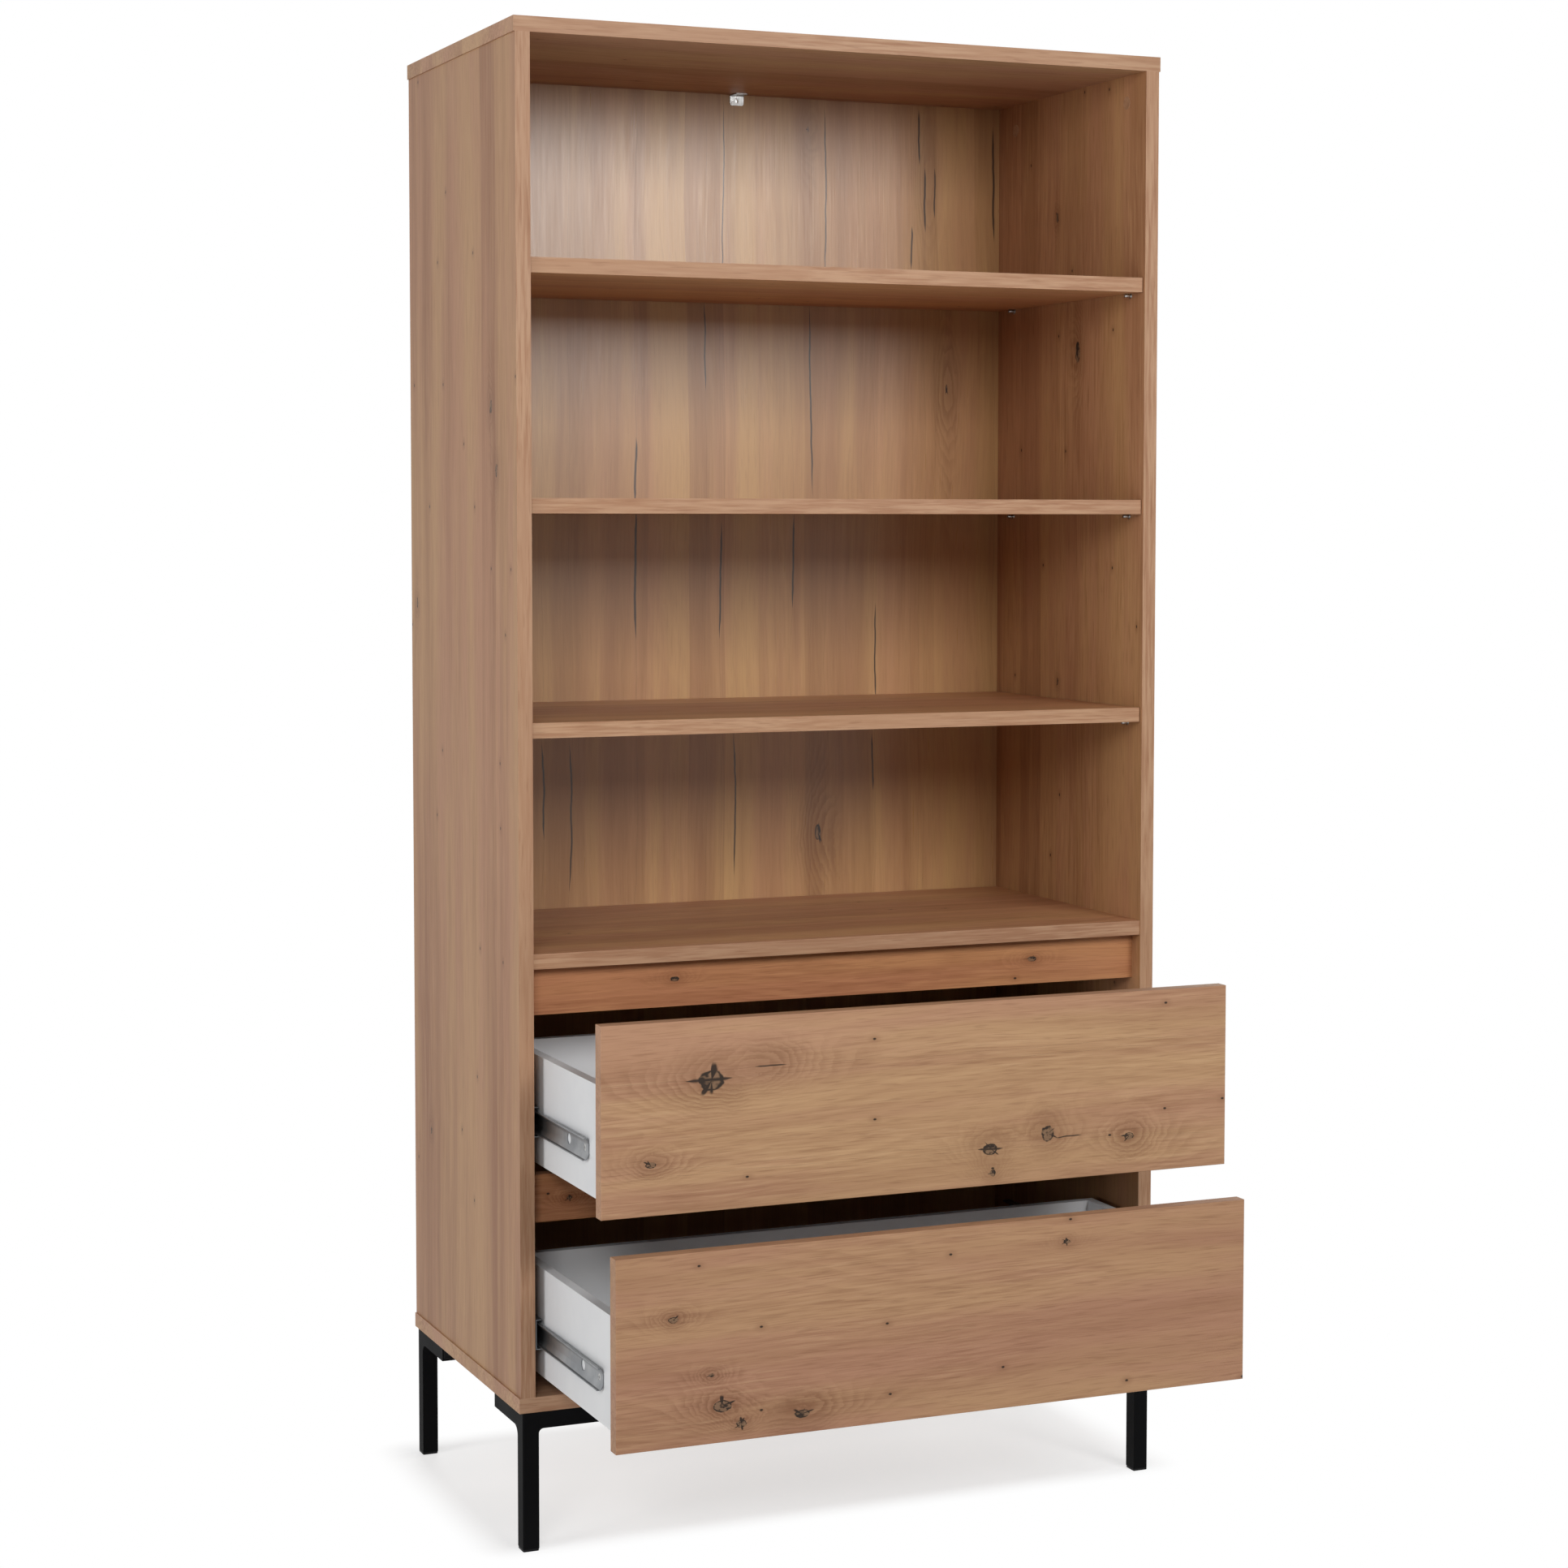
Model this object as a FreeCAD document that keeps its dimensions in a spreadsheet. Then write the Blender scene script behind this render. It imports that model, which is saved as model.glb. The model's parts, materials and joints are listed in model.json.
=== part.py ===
"""A tall bookcase with four open bays over two drawers, on four steel corner legs.

Every piece is modelled as it is made: 18 mm boards with their grooves and drillings, thin back and
drawer bottoms in grooves, welded tube legs, and drawers on three-member ball-bearing slides.
Lengths are millimetres. X runs to the right, Y to the back, Z up. The origin is on the floor, in the
middle of the space that the bookcase takes with its drawers pulled out as far as they are at rest.
"""
import FreeCAD, Part
import itertools
import math
import os
import Sketcher

Vector = FreeCAD.Vector
doc = FreeCAD.newDocument("Bookcase")

# ---------------------------------------------------------------------------------------------
# The driving sizes
# ---------------------------------------------------------------------------------------------
SIZES = [
    # the carcass
    ("width", 850, "over the top and bottom panels"),
    ("depth", 440, "front edge to rear edge of the carcass"),
    ("height", 1800, "floor to the upper face of the top panel"),
    ("board", 18, "thickness of the carcass boards"),
    ("end_overhang", 1.8, "how far the top and bottom panels stand past the sides"),
    ("back_board", 4, "thickness of the back panel"),
    ("back_setback", 28, "rear edge of the carcass to the back panel"),
    ("groove_depth", 8, "depth of the grooves that hold the back panel"),
    ("groove_play", 0.15, "clearance on each face of a board in its groove"),
    ("drilling_play", 0.1, "clearance round a dowel, pin or screw in its drilling"),
    # the shelves
    ("lower_shelf_top", 983.2, "floor to the upper face of the lower loose shelf"),
    ("middle_shelf_top", 1246, "the same for the middle one"),
    ("upper_shelf_top", 1524.9, "the same for the upper one"),
    ("shelf_setback", 4.5, "front edge of a loose shelf behind the carcass front"),
    ("fixed_shelf_setback", 1.8, "front edge of the fixed shelf behind the carcass front"),
    ("shelf_end_play", 1.2, "between a loose shelf's end and the side"),
    ("shelf_rear_play", 1, "between a shelf and the back panel"),
    ("pin_radius", 2.5, "shelf pin, in the side"),
    ("pin_length_in", 9, "length of a shelf pin inside the side"),
    ("pin_length_out", 9, "length of a shelf pin under the shelf"),
    ("pin_collar_radius", 4, "collar of a shelf pin against the side"),
    ("pin_collar", 1, "thickness of the collar"),
    ("pin_front_row", 37, "front row of pins behind the carcass front"),
    ("pin_rear_row", 360, "rear row of pins behind the carcass front"),
    # the rails
    ("rail_height", 57, "height of the two rails behind the finger gaps"),
    ("rail_setback", 21.1, "front face of a rail behind the carcass front"),
    ("rail_lap", 4.5, "upper edge of the middle rail over the lower edge of the upper front"),
    ("rail_dowel_rise", 14, "dowel over the lower edge of a rail"),
    ("rail_cam_rise", 43, "cam over the lower edge of a rail"),
    # the drawers
    ("front_height", 218.2, "height of a drawer front"),
    ("front_side_gap", 5.2, "between a drawer front's end and the side"),
    ("front_bottom_gap", 4.3, "between the lower drawer front and the bottom panel"),
    ("finger_gap", 34, "over each drawer front, for the hand that pulls it"),
    ("front_easing", 0.8, "radius on the face edges of a drawer front"),
    ("upper_drawer_pull", 220.3, "how far the upper drawer is pulled out at rest"),
    ("lower_drawer_pull", 267, "how far the lower drawer is pulled out at rest"),
    ("box_board", 12, "thickness of the drawer box's sides and back"),
    ("box_height", 130, "height of the drawer box's sides"),
    ("box_length", 350, "length of the drawer box behind its front"),
    ("box_lift", 16.5, "lower edge of the box over the lower edge of the front"),
    ("box_low_fixing", 26, "lower dowel and screw over the box's lower edge"),
    ("box_high_fixing", 20, "upper dowel and screw under the box's upper edge"),
    ("box_cam_rise", 78, "cam over the box's lower edge"),
    ("box_bottom_board", 4, "thickness of the drawer bottom"),
    ("box_bottom_rise", 10, "underside of the drawer bottom over the box's lower edge"),
    ("box_groove_depth", 6, "depth of the grooves that hold the drawer bottom"),
    # the slides
    ("slide_space", 12.7, "between the carcass side and the drawer side"),
    ("slide_rear_space", 7.5, "rear end of the drawer side behind the slide's rear end"),
    ("slide_setback", 60.5, "front end of the drawer member behind the face of the front"),
    ("slide_rise", 52, "slide's axis over the box's lower edge"),
    ("slide_screw_end", 36, "screws of the outer member from its two ends"),
    ("member_screw_end", 21, "rear screw of the inner member from its rear end"),
    ("cabinet_member_height", 45, "height of the outer member"),
    ("middle_member_height", 36, "height of the middle member"),
    ("drawer_member_height", 26.6, "height of the inner member"),
    ("drawer_member_flat", 12, "height of the flat middle of its web"),
    ("drawer_member_bend", 9.4, "end of its sloping bend from the side"),
    ("member_sheet", 1.2, "sheet of the outer and inner members"),
    ("middle_sheet", 1, "sheet of the middle member"),
    ("cabinet_member_depth", 10.5, "flange of the outer member from the side"),
    ("cabinet_member_lip", 1, "lip that keeps the balls in the outer member"),
    ("middle_member_near", 3.2, "web of the middle member from the side"),
    ("middle_member_far", 11.2, "edge of the middle member's flange from the side"),
    ("drawer_member_near", 5.6, "edge of the inner member's flange from the side"),
    ("outer_cage_near", 2.4, "web of the outer ball cage from the side"),
    ("outer_cage_far", 9, "edge of the outer cage's flange from the side"),
    ("outer_ball_line", 6.5, "centres of the outer balls from the side"),
    ("inner_cage_near", 4.5, "web of the inner ball cage from the side"),
    ("inner_cage_far", 11, "edge of the inner cage's flange from the side"),
    ("inner_ball_line", 8.2, "centres of the inner balls from the side"),
    ("cage_sheet", 0.5, "sheet of the ball cages"),
    ("outer_cage_length", 140, "length of the outer ball cage"),
    ("inner_cage_length", 60, "length of the inner ball cage"),
    ("ball_play", 0.1, "between a ball and each raceway"),
    ("ball_pocket_play", 0.2, "between a ball and its window in the cage"),
    ("access_hole_radius", 6.5, "large hole near the front end of the inner member"),
    ("access_hole_place", 68, "that hole behind the member's front end"),
    ("fixing_hole_radius", 4.25, "small hole at the front end of the inner member"),
    ("fixing_hole_place", 12.7, "that hole behind the member's front end"),
    # the legs
    ("leg_height", 167, "floor to the underside of the bottom panel"),
    ("leg_tube", 20, "side of the square tube"),
    ("leg_wall", 1.5, "wall of the tube"),
    ("leg_corner", 2, "radius on the tube's long edges"),
    ("leg_end_inset", 3.9, "leg from the end of the bottom panel"),
    ("leg_arm", 110, "length of each arm under the bottom panel, over the post"),
    ("leg_side_fillet", 12, "weld radius between the post and the arm along the side"),
    ("leg_front_fillet", 6, "weld radius between the post and the other arm"),
    ("glide_thickness", 3, "part of the plastic glide below the tube"),
    ("glide_plug", 14, "part of the glide inside the tube"),
    ("glide_plug_play", 0.2, "between a plug and the tube"),
    ("arm_plug", 8, "length of the plug in an arm's end"),
    # the fittings
    ("dowel_radius", 4, "wooden dowel"),
    ("dowel_length", 30, "length of a dowel"),
    ("dowel_in_face", 10, "how deep a dowel sits in the face of a board"),
    ("dowel_end_play", 0.5, "free space at each end of a dowel"),
    ("dowel_line", 64, "distance between a dowel and the cam beside it"),
    ("cam_radius", 7.5, "eccentric cam"),
    ("cam_depth", 12.5, "depth of a cam in its board"),
    ("box_cam_depth", 9.5, "depth of a cam in a drawer side"),
    ("cam_line", 34, "centre of a cam from the end of its board"),
    ("cam_place", 50, "first cam behind the front edge"),
    ("cam_bolt_radius", 3.5, "shank of the cam's bolt"),
    ("cam_thread_radius", 2.5, "thread of the cam's bolt in the other board"),
    ("cam_thread", 11, "length of that thread"),
    ("cap_radius", 8.5, "cover cap on a cam that can be seen"),
    ("cap_thickness", 0.4, "thickness of the cap"),
    ("screw_radius", 1.8, "shank of the small wood screws"),
    ("screw_head_radius", 3.8, "head of the small wood screws"),
    ("screw_head", 0.8, "low head of the slide screws"),
    ("screw_length", 11, "length of the slide screws in a carcass side"),
    ("box_screw_length", 9, "length of the slide screws in a drawer side"),
    ("leg_screw_radius", 2.4, "shank of the leg screws"),
    ("leg_screw_head_radius", 4.6, "head of the leg screws"),
    ("leg_screw_head", 2.6, "height of that head"),
    ("leg_screw_access", 0.6, "clearance round the head in the hole that lets it into the arm"),
    ("leg_screw_place", 24, "leg screw from the end of its arm"),
    ("leg_screw_bite", 12, "length of a leg screw in the bottom panel"),
    ("back_screw_length", 22, "length of the screws that hold a drawer's sides to its back"),
    # the wall bracket
    ("bracket_width", 19, "width of the wall bracket"),
    ("bracket_reach", 20, "leg of the wall bracket under the top panel"),
    ("bracket_drop", 14, "leg of the wall bracket down the back panel"),
    ("bracket_screw_place", 12, "screw of the bracket in front of the back panel"),
    ("wall_screw_drop", 8, "hole for the wall screw under the top panel"),
    ("bracket_sheet", 1.5, "sheet of the wall bracket"),
    ("bracket_shift", 16, "middle of the bracket to the right of the middle of the bookcase"),
    ("wall_screw_hole_radius", 2.5, "hole for the wall screw"),
]

sheet = doc.addObject("Spreadsheet::Sheet", "Sizes")
for number, (alias, value, note) in enumerate(SIZES, start=1):
    sheet.set(f"A{number}", note)
    sheet.set(f"B{number}", str(value))
    sheet.setAlias(f"B{number}", alias)
doc.recompute()
ALIASES = sorted((alias for alias, _, _ in SIZES), key=len, reverse=True)


def bound(text):
    """The expression with each size's name pointed at its cell."""
    words = []
    word = ""
    for letter in str(text) + " ":
        if letter.isalnum() or letter == "_" or (letter == "." and word[:1].isdigit()):
            word += letter
            continue
        words.append("Sizes." + word if word in ALIASES else word)
        words.append(letter)
        word = ""
    return "".join(words).strip()


def value_of(text):
    """What an expression comes to now, in millimetres."""
    return float(sheet.evalExpression(bound(text)))


# ---------------------------------------------------------------------------------------------
# Places that several pieces share, as expressions of the sizes
# ---------------------------------------------------------------------------------------------
FRONT_LINE = "(lower_drawer_pull - depth) / 2"  # carcass front in the bookcase's own frame
HALF_WIDTH = "width / 2"
SIDE_OUTER = "(width / 2 - end_overhang)"
SIDE_INNER = "(width / 2 - end_overhang - board)"
BOTTOM_TOP = "(leg_height + board)"
TOP_UNDER = "(height - board)"
BACK_FRONT = "(depth - back_setback - back_board)"
LOWER_FRONT_Z = "(leg_height + board + front_bottom_gap)"
UPPER_FRONT_Z = "(leg_height + board + front_bottom_gap + front_height + finger_gap)"
SHELF_UNDER = "(leg_height + board + front_bottom_gap + 2 * front_height + 2 * finger_gap)"
UPPER_RAIL_Z = f"({SHELF_UNDER} - rail_height)"
MIDDLE_RAIL_Z = f"({UPPER_FRONT_Z} + rail_lap - rail_height)"
SHELF_REAR = f"({BACK_FRONT} - shelf_rear_play)"
BOX_OUTER = f"({SIDE_INNER} - slide_space)"
SLIDE_Z = "(box_lift + slide_rise)"  # over the lower edge of the drawer's front
DOWEL_IN_EDGE = "(dowel_length - dowel_in_face)"

# ---------------------------------------------------------------------------------------------
# Helpers: sketches whose points are expressions, features on them, and groups of equal pieces
# ---------------------------------------------------------------------------------------------
PLANE_OF = {"Z": "XY_Plane", "Y": "XZ_Plane", "X": "YZ_Plane"}
home = {}  # where each body stands, by its label
drillings = {}  # the bars that are taken out of each board, by its label


def new_body(label, x="0", y="0", z="0"):
    """A body whose own frame stands on the floor at the carcass front, moved by x, y and z."""
    body = doc.addObject("PartDesign::Body", label)
    body.Label = label
    body.setExpression("Placement.Base.x", bound(x))
    body.setExpression("Placement.Base.y", bound(f"{FRONT_LINE} + ({y})"))
    body.setExpression("Placement.Base.z", bound(z))
    home[label] = (x, y, z)
    return body


def new_sketch(body, axis, at):
    """A sketch across an axis of the body. An XZ sketch looks towards -Y, so its offset turns round."""
    sketch = body.newObject("Sketcher::SketchObject", "Sketch")
    plane = next(f for f in body.Origin.OriginFeatures if f.Role == PLANE_OF[axis])
    sketch.AttachmentSupport = [(plane, "")]
    sketch.MapMode = "FlatFace"
    offset = f"-({at})" if axis == "Y" else at
    sketch.setExpression("AttachmentOffset.Base.z", bound(offset))
    return sketch


def pin_point(sketch, geometry, vertex, across, up):
    """Hold one point of the sketch at two expressions from the sketch's origin."""
    for kind, text in (("DistanceX", across), ("DistanceY", up)):
        row = sketch.addConstraint(Sketcher.Constraint(kind, -1, 1, geometry, vertex, value_of(text)))
        sketch.setExpression(f"Constraints[{row}]", bound(text))


def draw_polygon(sketch, corners):
    """A closed outline of straight lines through corners given as pairs of expressions."""
    points = [Vector(value_of(a), value_of(b), 0) for a, b in corners]
    lines = []
    for here, there in zip(points, points[1:] + points[:1]):
        lines.append(sketch.addGeometry(Part.LineSegment(here, there), False))
    for line, following in zip(lines, lines[1:] + lines[:1]):
        sketch.addConstraint(Sketcher.Constraint("Coincident", line, 2, following, 1))
    for line, (across, up) in zip(lines, corners):
        pin_point(sketch, line, 1, across, up)


def draw_box(sketch, left, right, low, high):
    draw_polygon(sketch, [(left, low), (right, low), (right, high), (left, high)])


def draw_circle(sketch, across, up, radius):
    centre = Vector(value_of(across), value_of(up), 0)
    circle = sketch.addGeometry(Part.Circle(centre, Vector(0, 0, 1), value_of(radius)), False)
    pin_point(sketch, circle, 3, across, up)
    row = sketch.addConstraint(Sketcher.Constraint("Radius", circle, value_of(radius)))
    sketch.setExpression(f"Constraints[{row}]", bound(radius))


def pad(body, sketch, length, backwards=False):
    """Grow the sketch along its axis, or against it."""
    feature = body.newObject("PartDesign::Pad", "Pad")
    feature.Profile = sketch
    feature.setExpression("Length", bound(length))
    looks_back = sketch.AttachmentSupport[0][0].Role == PLANE_OF["Y"]
    feature.Reversed = backwards != looks_back
    return feature


def pocket(body, sketch, length, backwards=False):
    """Cut the sketch along its axis, or against it, and see that something went."""
    doc.recompute()
    before = body.Shape.Volume
    feature = body.newObject("PartDesign::Pocket", "Pocket")
    feature.Profile = sketch
    feature.setExpression("Length", bound(length))
    looks_back = sketch.AttachmentSupport[0][0].Role == PLANE_OF["Y"]
    feature.Reversed = backwards == looks_back
    doc.recompute()
    if body.Shape.Volume > before - 0.01:
        raise RuntimeError(f"{body.Label}: a pocket cut nothing")
    return feature


def cut_box(body, axis, at, extent, length, backwards=False):
    sketch = new_sketch(body, axis, at)
    draw_box(sketch, *extent)
    pocket(body, sketch, length, backwards)


def cut_holes(body, axis, at, places, radius, length, backwards=False):
    sketch = new_sketch(body, axis, at)
    for across, up in places:
        draw_circle(sketch, across, up, radius)
    pocket(body, sketch, length, backwards)


def board(label, left, right, front, rear, low, high, y="0", z="0"):
    """A flat board, its plan drawn and grown to its height."""
    body = new_body(label, y=y, z=z)
    sketch = new_sketch(body, "Z", low)
    draw_box(sketch, left, right, front, rear)
    pad(body, sketch, f"({high}) - ({low})")
    return body


def edges_where(shape, test):
    """Names of the straight edges whose two ends both pass the test."""
    names = []
    for number, edge in enumerate(shape.Edges, start=1):
        ends = [vertex.Point for vertex in edge.Vertexes]
        if len(ends) == 2 and all(test(end) for end in ends):
            names.append(f"Edge{number}")
    return names


def near(a, text):
    return abs(a - value_of(text)) < 0.01


def round_edges(body, test, radius):
    doc.recompute()
    tip = body.Tip
    names = edges_where(tip.Shape, test)
    if not names:
        raise RuntimeError(f"{body.Label}: no edge to round")
    fillet = body.newObject("PartDesign::Fillet", "Fillet")
    fillet.Base = (tip, names)
    fillet.setExpression("Radius", bound(radius))


# Small round things are flat-sided, because there are so many of them and most are hidden
FLATS = 6
CAM_FLATS = 8
CAP_FLATS = 12


def turn_to(axis):
    """The turn that lays a bar along X, Y or Z, or against it, always with a corner on the same side."""
    along = Vector(*[float(letter == axis[-1]) for letter in "XYZ"]) * (-1 if axis[0] == "-" else 1)
    corner = Vector(0, 1, 0) if axis[-1] == "X" else Vector(1, 0, 0)
    return FreeCAD.Rotation(corner, along.cross(corner), along, "ZXY")


def rod(radius, length, x, y, z, axis, flats=FLATS):
    """A bar from a point along X, Y or Z, or against it where the axis has a minus sign."""
    bar = doc.addObject("Part::Prism", "Rod")
    bar.Polygon = round(flats)
    bar.setExpression("Circumradius", bound(radius))
    bar.setExpression("Height", bound(length))
    bar.Placement = FreeCAD.Placement(Vector(), turn_to(axis))
    bar.setExpression("Placement.Base.x", bound(x))
    bar.setExpression("Placement.Base.y", bound(f"{FRONT_LINE} + ({y})"))
    bar.setExpression("Placement.Base.z", bound(z))
    return bar


def moved(x, y, z, axis, distance):
    """A point moved along an axis, or against it where the axis has a minus sign."""
    place = {"X": x, "Y": y, "Z": z}
    step = "-" if axis[0] == "-" else "+"
    place[axis[-1]] = f"({place[axis[-1]]}) {step} ({distance})"
    return place["X"], place["Y"], place["Z"]


def drill(body, axis, at, places, radius, length, backwards=False, flats=FLATS):
    """Note drillings across an axis of a board, at places given as pairs in the board's own frame.
    They are made by drilled, once the board is whole."""
    own_x, own_y, own_z = home[body.Label]
    for across, up in places:
        x, y, z = {"X": (at, across, up), "Y": (across, at, up), "Z": (across, up, at)}[axis]
        bar = rod(radius, length, f"{own_x} + {x}", f"{own_y} + {y}", f"{own_z} + {z}",
                  f"-{axis}" if backwards else axis, flats)
        drillings.setdefault(body.Label, []).append(bar)


def drilled(body):
    """The body with the drillings noted for it. The whole takes the body's label over."""
    label = body.Label
    body.Label = f"{label}_blank"
    bars = drillings[label]
    whole = doc.addObject("Part::Cut", label)
    whole.Label = label
    whole.Base = body
    whole.Tool = joined(bars) if len(bars) > 1 else bars[0]
    return whole


def joined(pieces):
    fuse = doc.addObject("Part::MultiFuse", "Joined")
    fuse.Shapes = pieces
    return fuse


def group(label, pieces):
    """Equal small pieces that share one node."""
    compound = doc.addObject("Part::Compound", label)
    compound.Links = pieces
    compound.Label = label
    return compound


# ---------------------------------------------------------------------------------------------
# The joints of the carcass: where the dowels, cams and cam bolts sit
# ---------------------------------------------------------------------------------------------
CAM_ROWS = ["cam_place", f"({BACK_FRONT} - cam_place)"]
DOWEL_ROWS = ["(cam_place + dowel_line)", f"({BACK_FRONT} - cam_place - dowel_line)"]
RAIL_CAM_Y = "(rail_setback + board / 2)"
PLAY = "drilling_play"

# ---------------------------------------------------------------------------------------------
# The carcass boards
# ---------------------------------------------------------------------------------------------
GROOVE_FRONT = f"({BACK_FRONT} - groove_play)"
GROOVE_REAR = "(depth - back_setback + groove_play)"
GROOVE_SIDE = f"({SIDE_INNER} + groove_depth)"


def end_panel(label, low, inner_face, inwards):
    """The top or bottom panel, with the groove for the back and the drillings for both sides."""
    body = board(label, f"-{HALF_WIDTH}", HALF_WIDTH, "0", "depth", low, f"({low}) + board")
    extent = (f"-{GROOVE_SIDE}", GROOVE_SIDE, GROOVE_FRONT, GROOVE_REAR)
    cut_box(body, "Z", inner_face, extent, "groove_depth", backwards=not inwards)
    middle = f"({SIDE_INNER} + board / 2)"
    for radius, length, rows in (("dowel_radius", "dowel_in_face", DOWEL_ROWS),
                                 ("cam_thread_radius", "cam_thread", CAM_ROWS)):
        places = [(f"{side}{middle}", row) for side in ("-", "") for row in rows]
        drill(body, "Z", inner_face, places, f"{radius} + {PLAY}", f"{length} + dowel_end_play",
              backwards=not inwards)
    return body


def leg_screw_places(side, end):
    """The two screws of a leg, in plan: one near the end of each arm."""
    middle = f"({HALF_WIDTH} - leg_end_inset - leg_tube / 2)"
    far = f"({HALF_WIDTH} - leg_end_inset - leg_arm + leg_screw_place)"
    post = "leg_tube / 2" if end == "front" else "(depth - leg_tube / 2)"
    tip = "(leg_arm - leg_screw_place)" if end == "front" else "(depth - leg_arm + leg_screw_place)"
    return [(f"{side}{far}", post), (f"{side}{middle}", tip)]


LEG_SCREWS = [p for side in ("-", "") for end in ("front", "rear") for p in leg_screw_places(side, end)]

top_panel = end_panel("top_panel", TOP_UNDER, TOP_UNDER, True)
BRACKET_SCREW_Y = f"({BACK_FRONT} - bracket_screw_place)"
drill(top_panel, "Z", TOP_UNDER, [("bracket_shift", BRACKET_SCREW_Y)],
      f"screw_radius + {PLAY}", "screw_length + dowel_end_play")
drilled(top_panel)
bottom_panel = end_panel("bottom_panel", "leg_height", BOTTOM_TOP, False)
drill(bottom_panel, "Z", "leg_height", LEG_SCREWS,
      f"leg_screw_radius + {PLAY}", "leg_screw_bite + dowel_end_play")
drilled(bottom_panel)

FIXED_SHELF_Z = f"({SHELF_UNDER} + board / 2)"
PIN_Z = [f"({top} - board - pin_radius)" for top in
         ("lower_shelf_top", "middle_shelf_top", "upper_shelf_top")]
PIN_PLACES = [(row, z) for row in ("pin_front_row", "pin_rear_row") for z in PIN_Z]
SLIDE_LENGTH = "(board + box_length - slide_setback - slide_rear_space)"
SLIDE_SCREWS = ["slide_screw_end", f"({SLIDE_LENGTH} - slide_screw_end)"]
MEMBER_SCREW = f"({SLIDE_LENGTH} - member_screw_end)"
RAIL_DOWELS = [(RAIL_CAM_Y, f"({z} + rail_dowel_rise)") for z in (UPPER_RAIL_Z, MIDDLE_RAIL_Z)]
RAIL_CAMS = [(RAIL_CAM_Y, f"({z} + rail_cam_rise)") for z in (UPPER_RAIL_Z, MIDDLE_RAIL_Z)]


def side_panel(label):
    """The right-hand side, between the top and bottom panels."""
    body = board(label, SIDE_INNER, SIDE_OUTER, "0", "depth", BOTTOM_TOP, TOP_UNDER)
    extent = (GROOVE_FRONT, GROOVE_REAR, BOTTOM_TOP, TOP_UNDER)
    cut_box(body, "X", SIDE_INNER, extent, "groove_depth")
    dowels = [(row, FIXED_SHELF_Z) for row in DOWEL_ROWS] + RAIL_DOWELS
    bolts = [(row, FIXED_SHELF_Z) for row in CAM_ROWS] + RAIL_CAMS
    screws = [(f"(slide_setback + {v})", f"({z} + {SLIDE_Z})")
              for z in (LOWER_FRONT_Z, UPPER_FRONT_Z) for v in SLIDE_SCREWS]
    for places, radius, deep in ((dowels, "dowel_radius", "dowel_in_face"),
                                 (bolts, "cam_thread_radius", "cam_thread"),
                                 (PIN_PLACES, "pin_radius", "pin_length_in"),
                                 (screws, "screw_radius", "screw_length")):
        drill(body, "X", SIDE_INNER, places, f"{radius} + {PLAY}", f"{deep} + dowel_end_play")
    middle = f"({SIDE_INNER} + board / 2)"
    for at, cam_z, from_top in ((BOTTOM_TOP, f"({BOTTOM_TOP} + cam_line)", False),
                                (TOP_UNDER, f"({TOP_UNDER} - cam_line)", True)):
        drill(body, "Z", at, [(middle, row) for row in DOWEL_ROWS], f"dowel_radius + {PLAY}",
              f"{DOWEL_IN_EDGE} + dowel_end_play", backwards=from_top)
        drill(body, "X", SIDE_INNER, [(row, cam_z) for row in CAM_ROWS],
              f"cam_radius + {PLAY}", f"cam_depth + {PLAY}", flats=CAM_FLATS)
        drill(body, "Z", at, [(middle, row) for row in CAM_ROWS],
              f"cam_bolt_radius + {PLAY}", "cam_line", backwards=from_top)
    return drilled(body)


right_side_panel = side_panel("right_side_panel")
left_side_panel = doc.addObject("Part::Mirroring", "left_side_panel")
left_side_panel.Label = "left_side_panel"
left_side_panel.Source = right_side_panel
left_side_panel.Normal = Vector(1, 0, 0)

back_panel = board("back_panel", f"-({GROOVE_SIDE} - groove_play)", f"({GROOVE_SIDE} - groove_play)",
                   BACK_FRONT, f"({BACK_FRONT} + back_board)",
                   f"({BOTTOM_TOP} - groove_depth + groove_play)",
                   f"({TOP_UNDER} + groove_depth - groove_play)")
WALL_HOLE_Z = f"({TOP_UNDER} - wall_screw_drop)"
cut_holes(back_panel, "Y", BACK_FRONT, [("bracket_shift", WALL_HOLE_Z)], "wall_screw_hole_radius",
          "back_board")


def cross_board(label, front, rear, low, thick, cam_rows, dowel_rows, cam_axis, cam_at):
    """A board between the sides, held at each end by dowels and by cams let into one face."""
    body = board(label, f"-{SIDE_INNER}", SIDE_INNER, front, rear, low, f"({low}) + {thick}")
    for side in (-1, 1):
        end = f"-{SIDE_INNER}" if side < 0 else SIDE_INNER
        drill(body, "X", end, dowel_rows, f"dowel_radius + {PLAY}",
              f"{DOWEL_IN_EDGE} + dowel_end_play", backwards=side > 0)
        drill(body, "X", end, cam_rows, f"cam_bolt_radius + {PLAY}", "cam_line",
              backwards=side > 0)
        cam_x = f"-({SIDE_INNER} - cam_line)" if side < 0 else f"({SIDE_INNER} - cam_line)"
        places = [(cam_x, y if cam_axis == "Z" else z) for y, z in cam_rows]
        drill(body, cam_axis, cam_at, places, f"cam_radius + {PLAY}", f"cam_depth + {PLAY}",
              backwards=cam_axis == "Y", flats=CAM_FLATS)
    return drilled(body)


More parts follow.
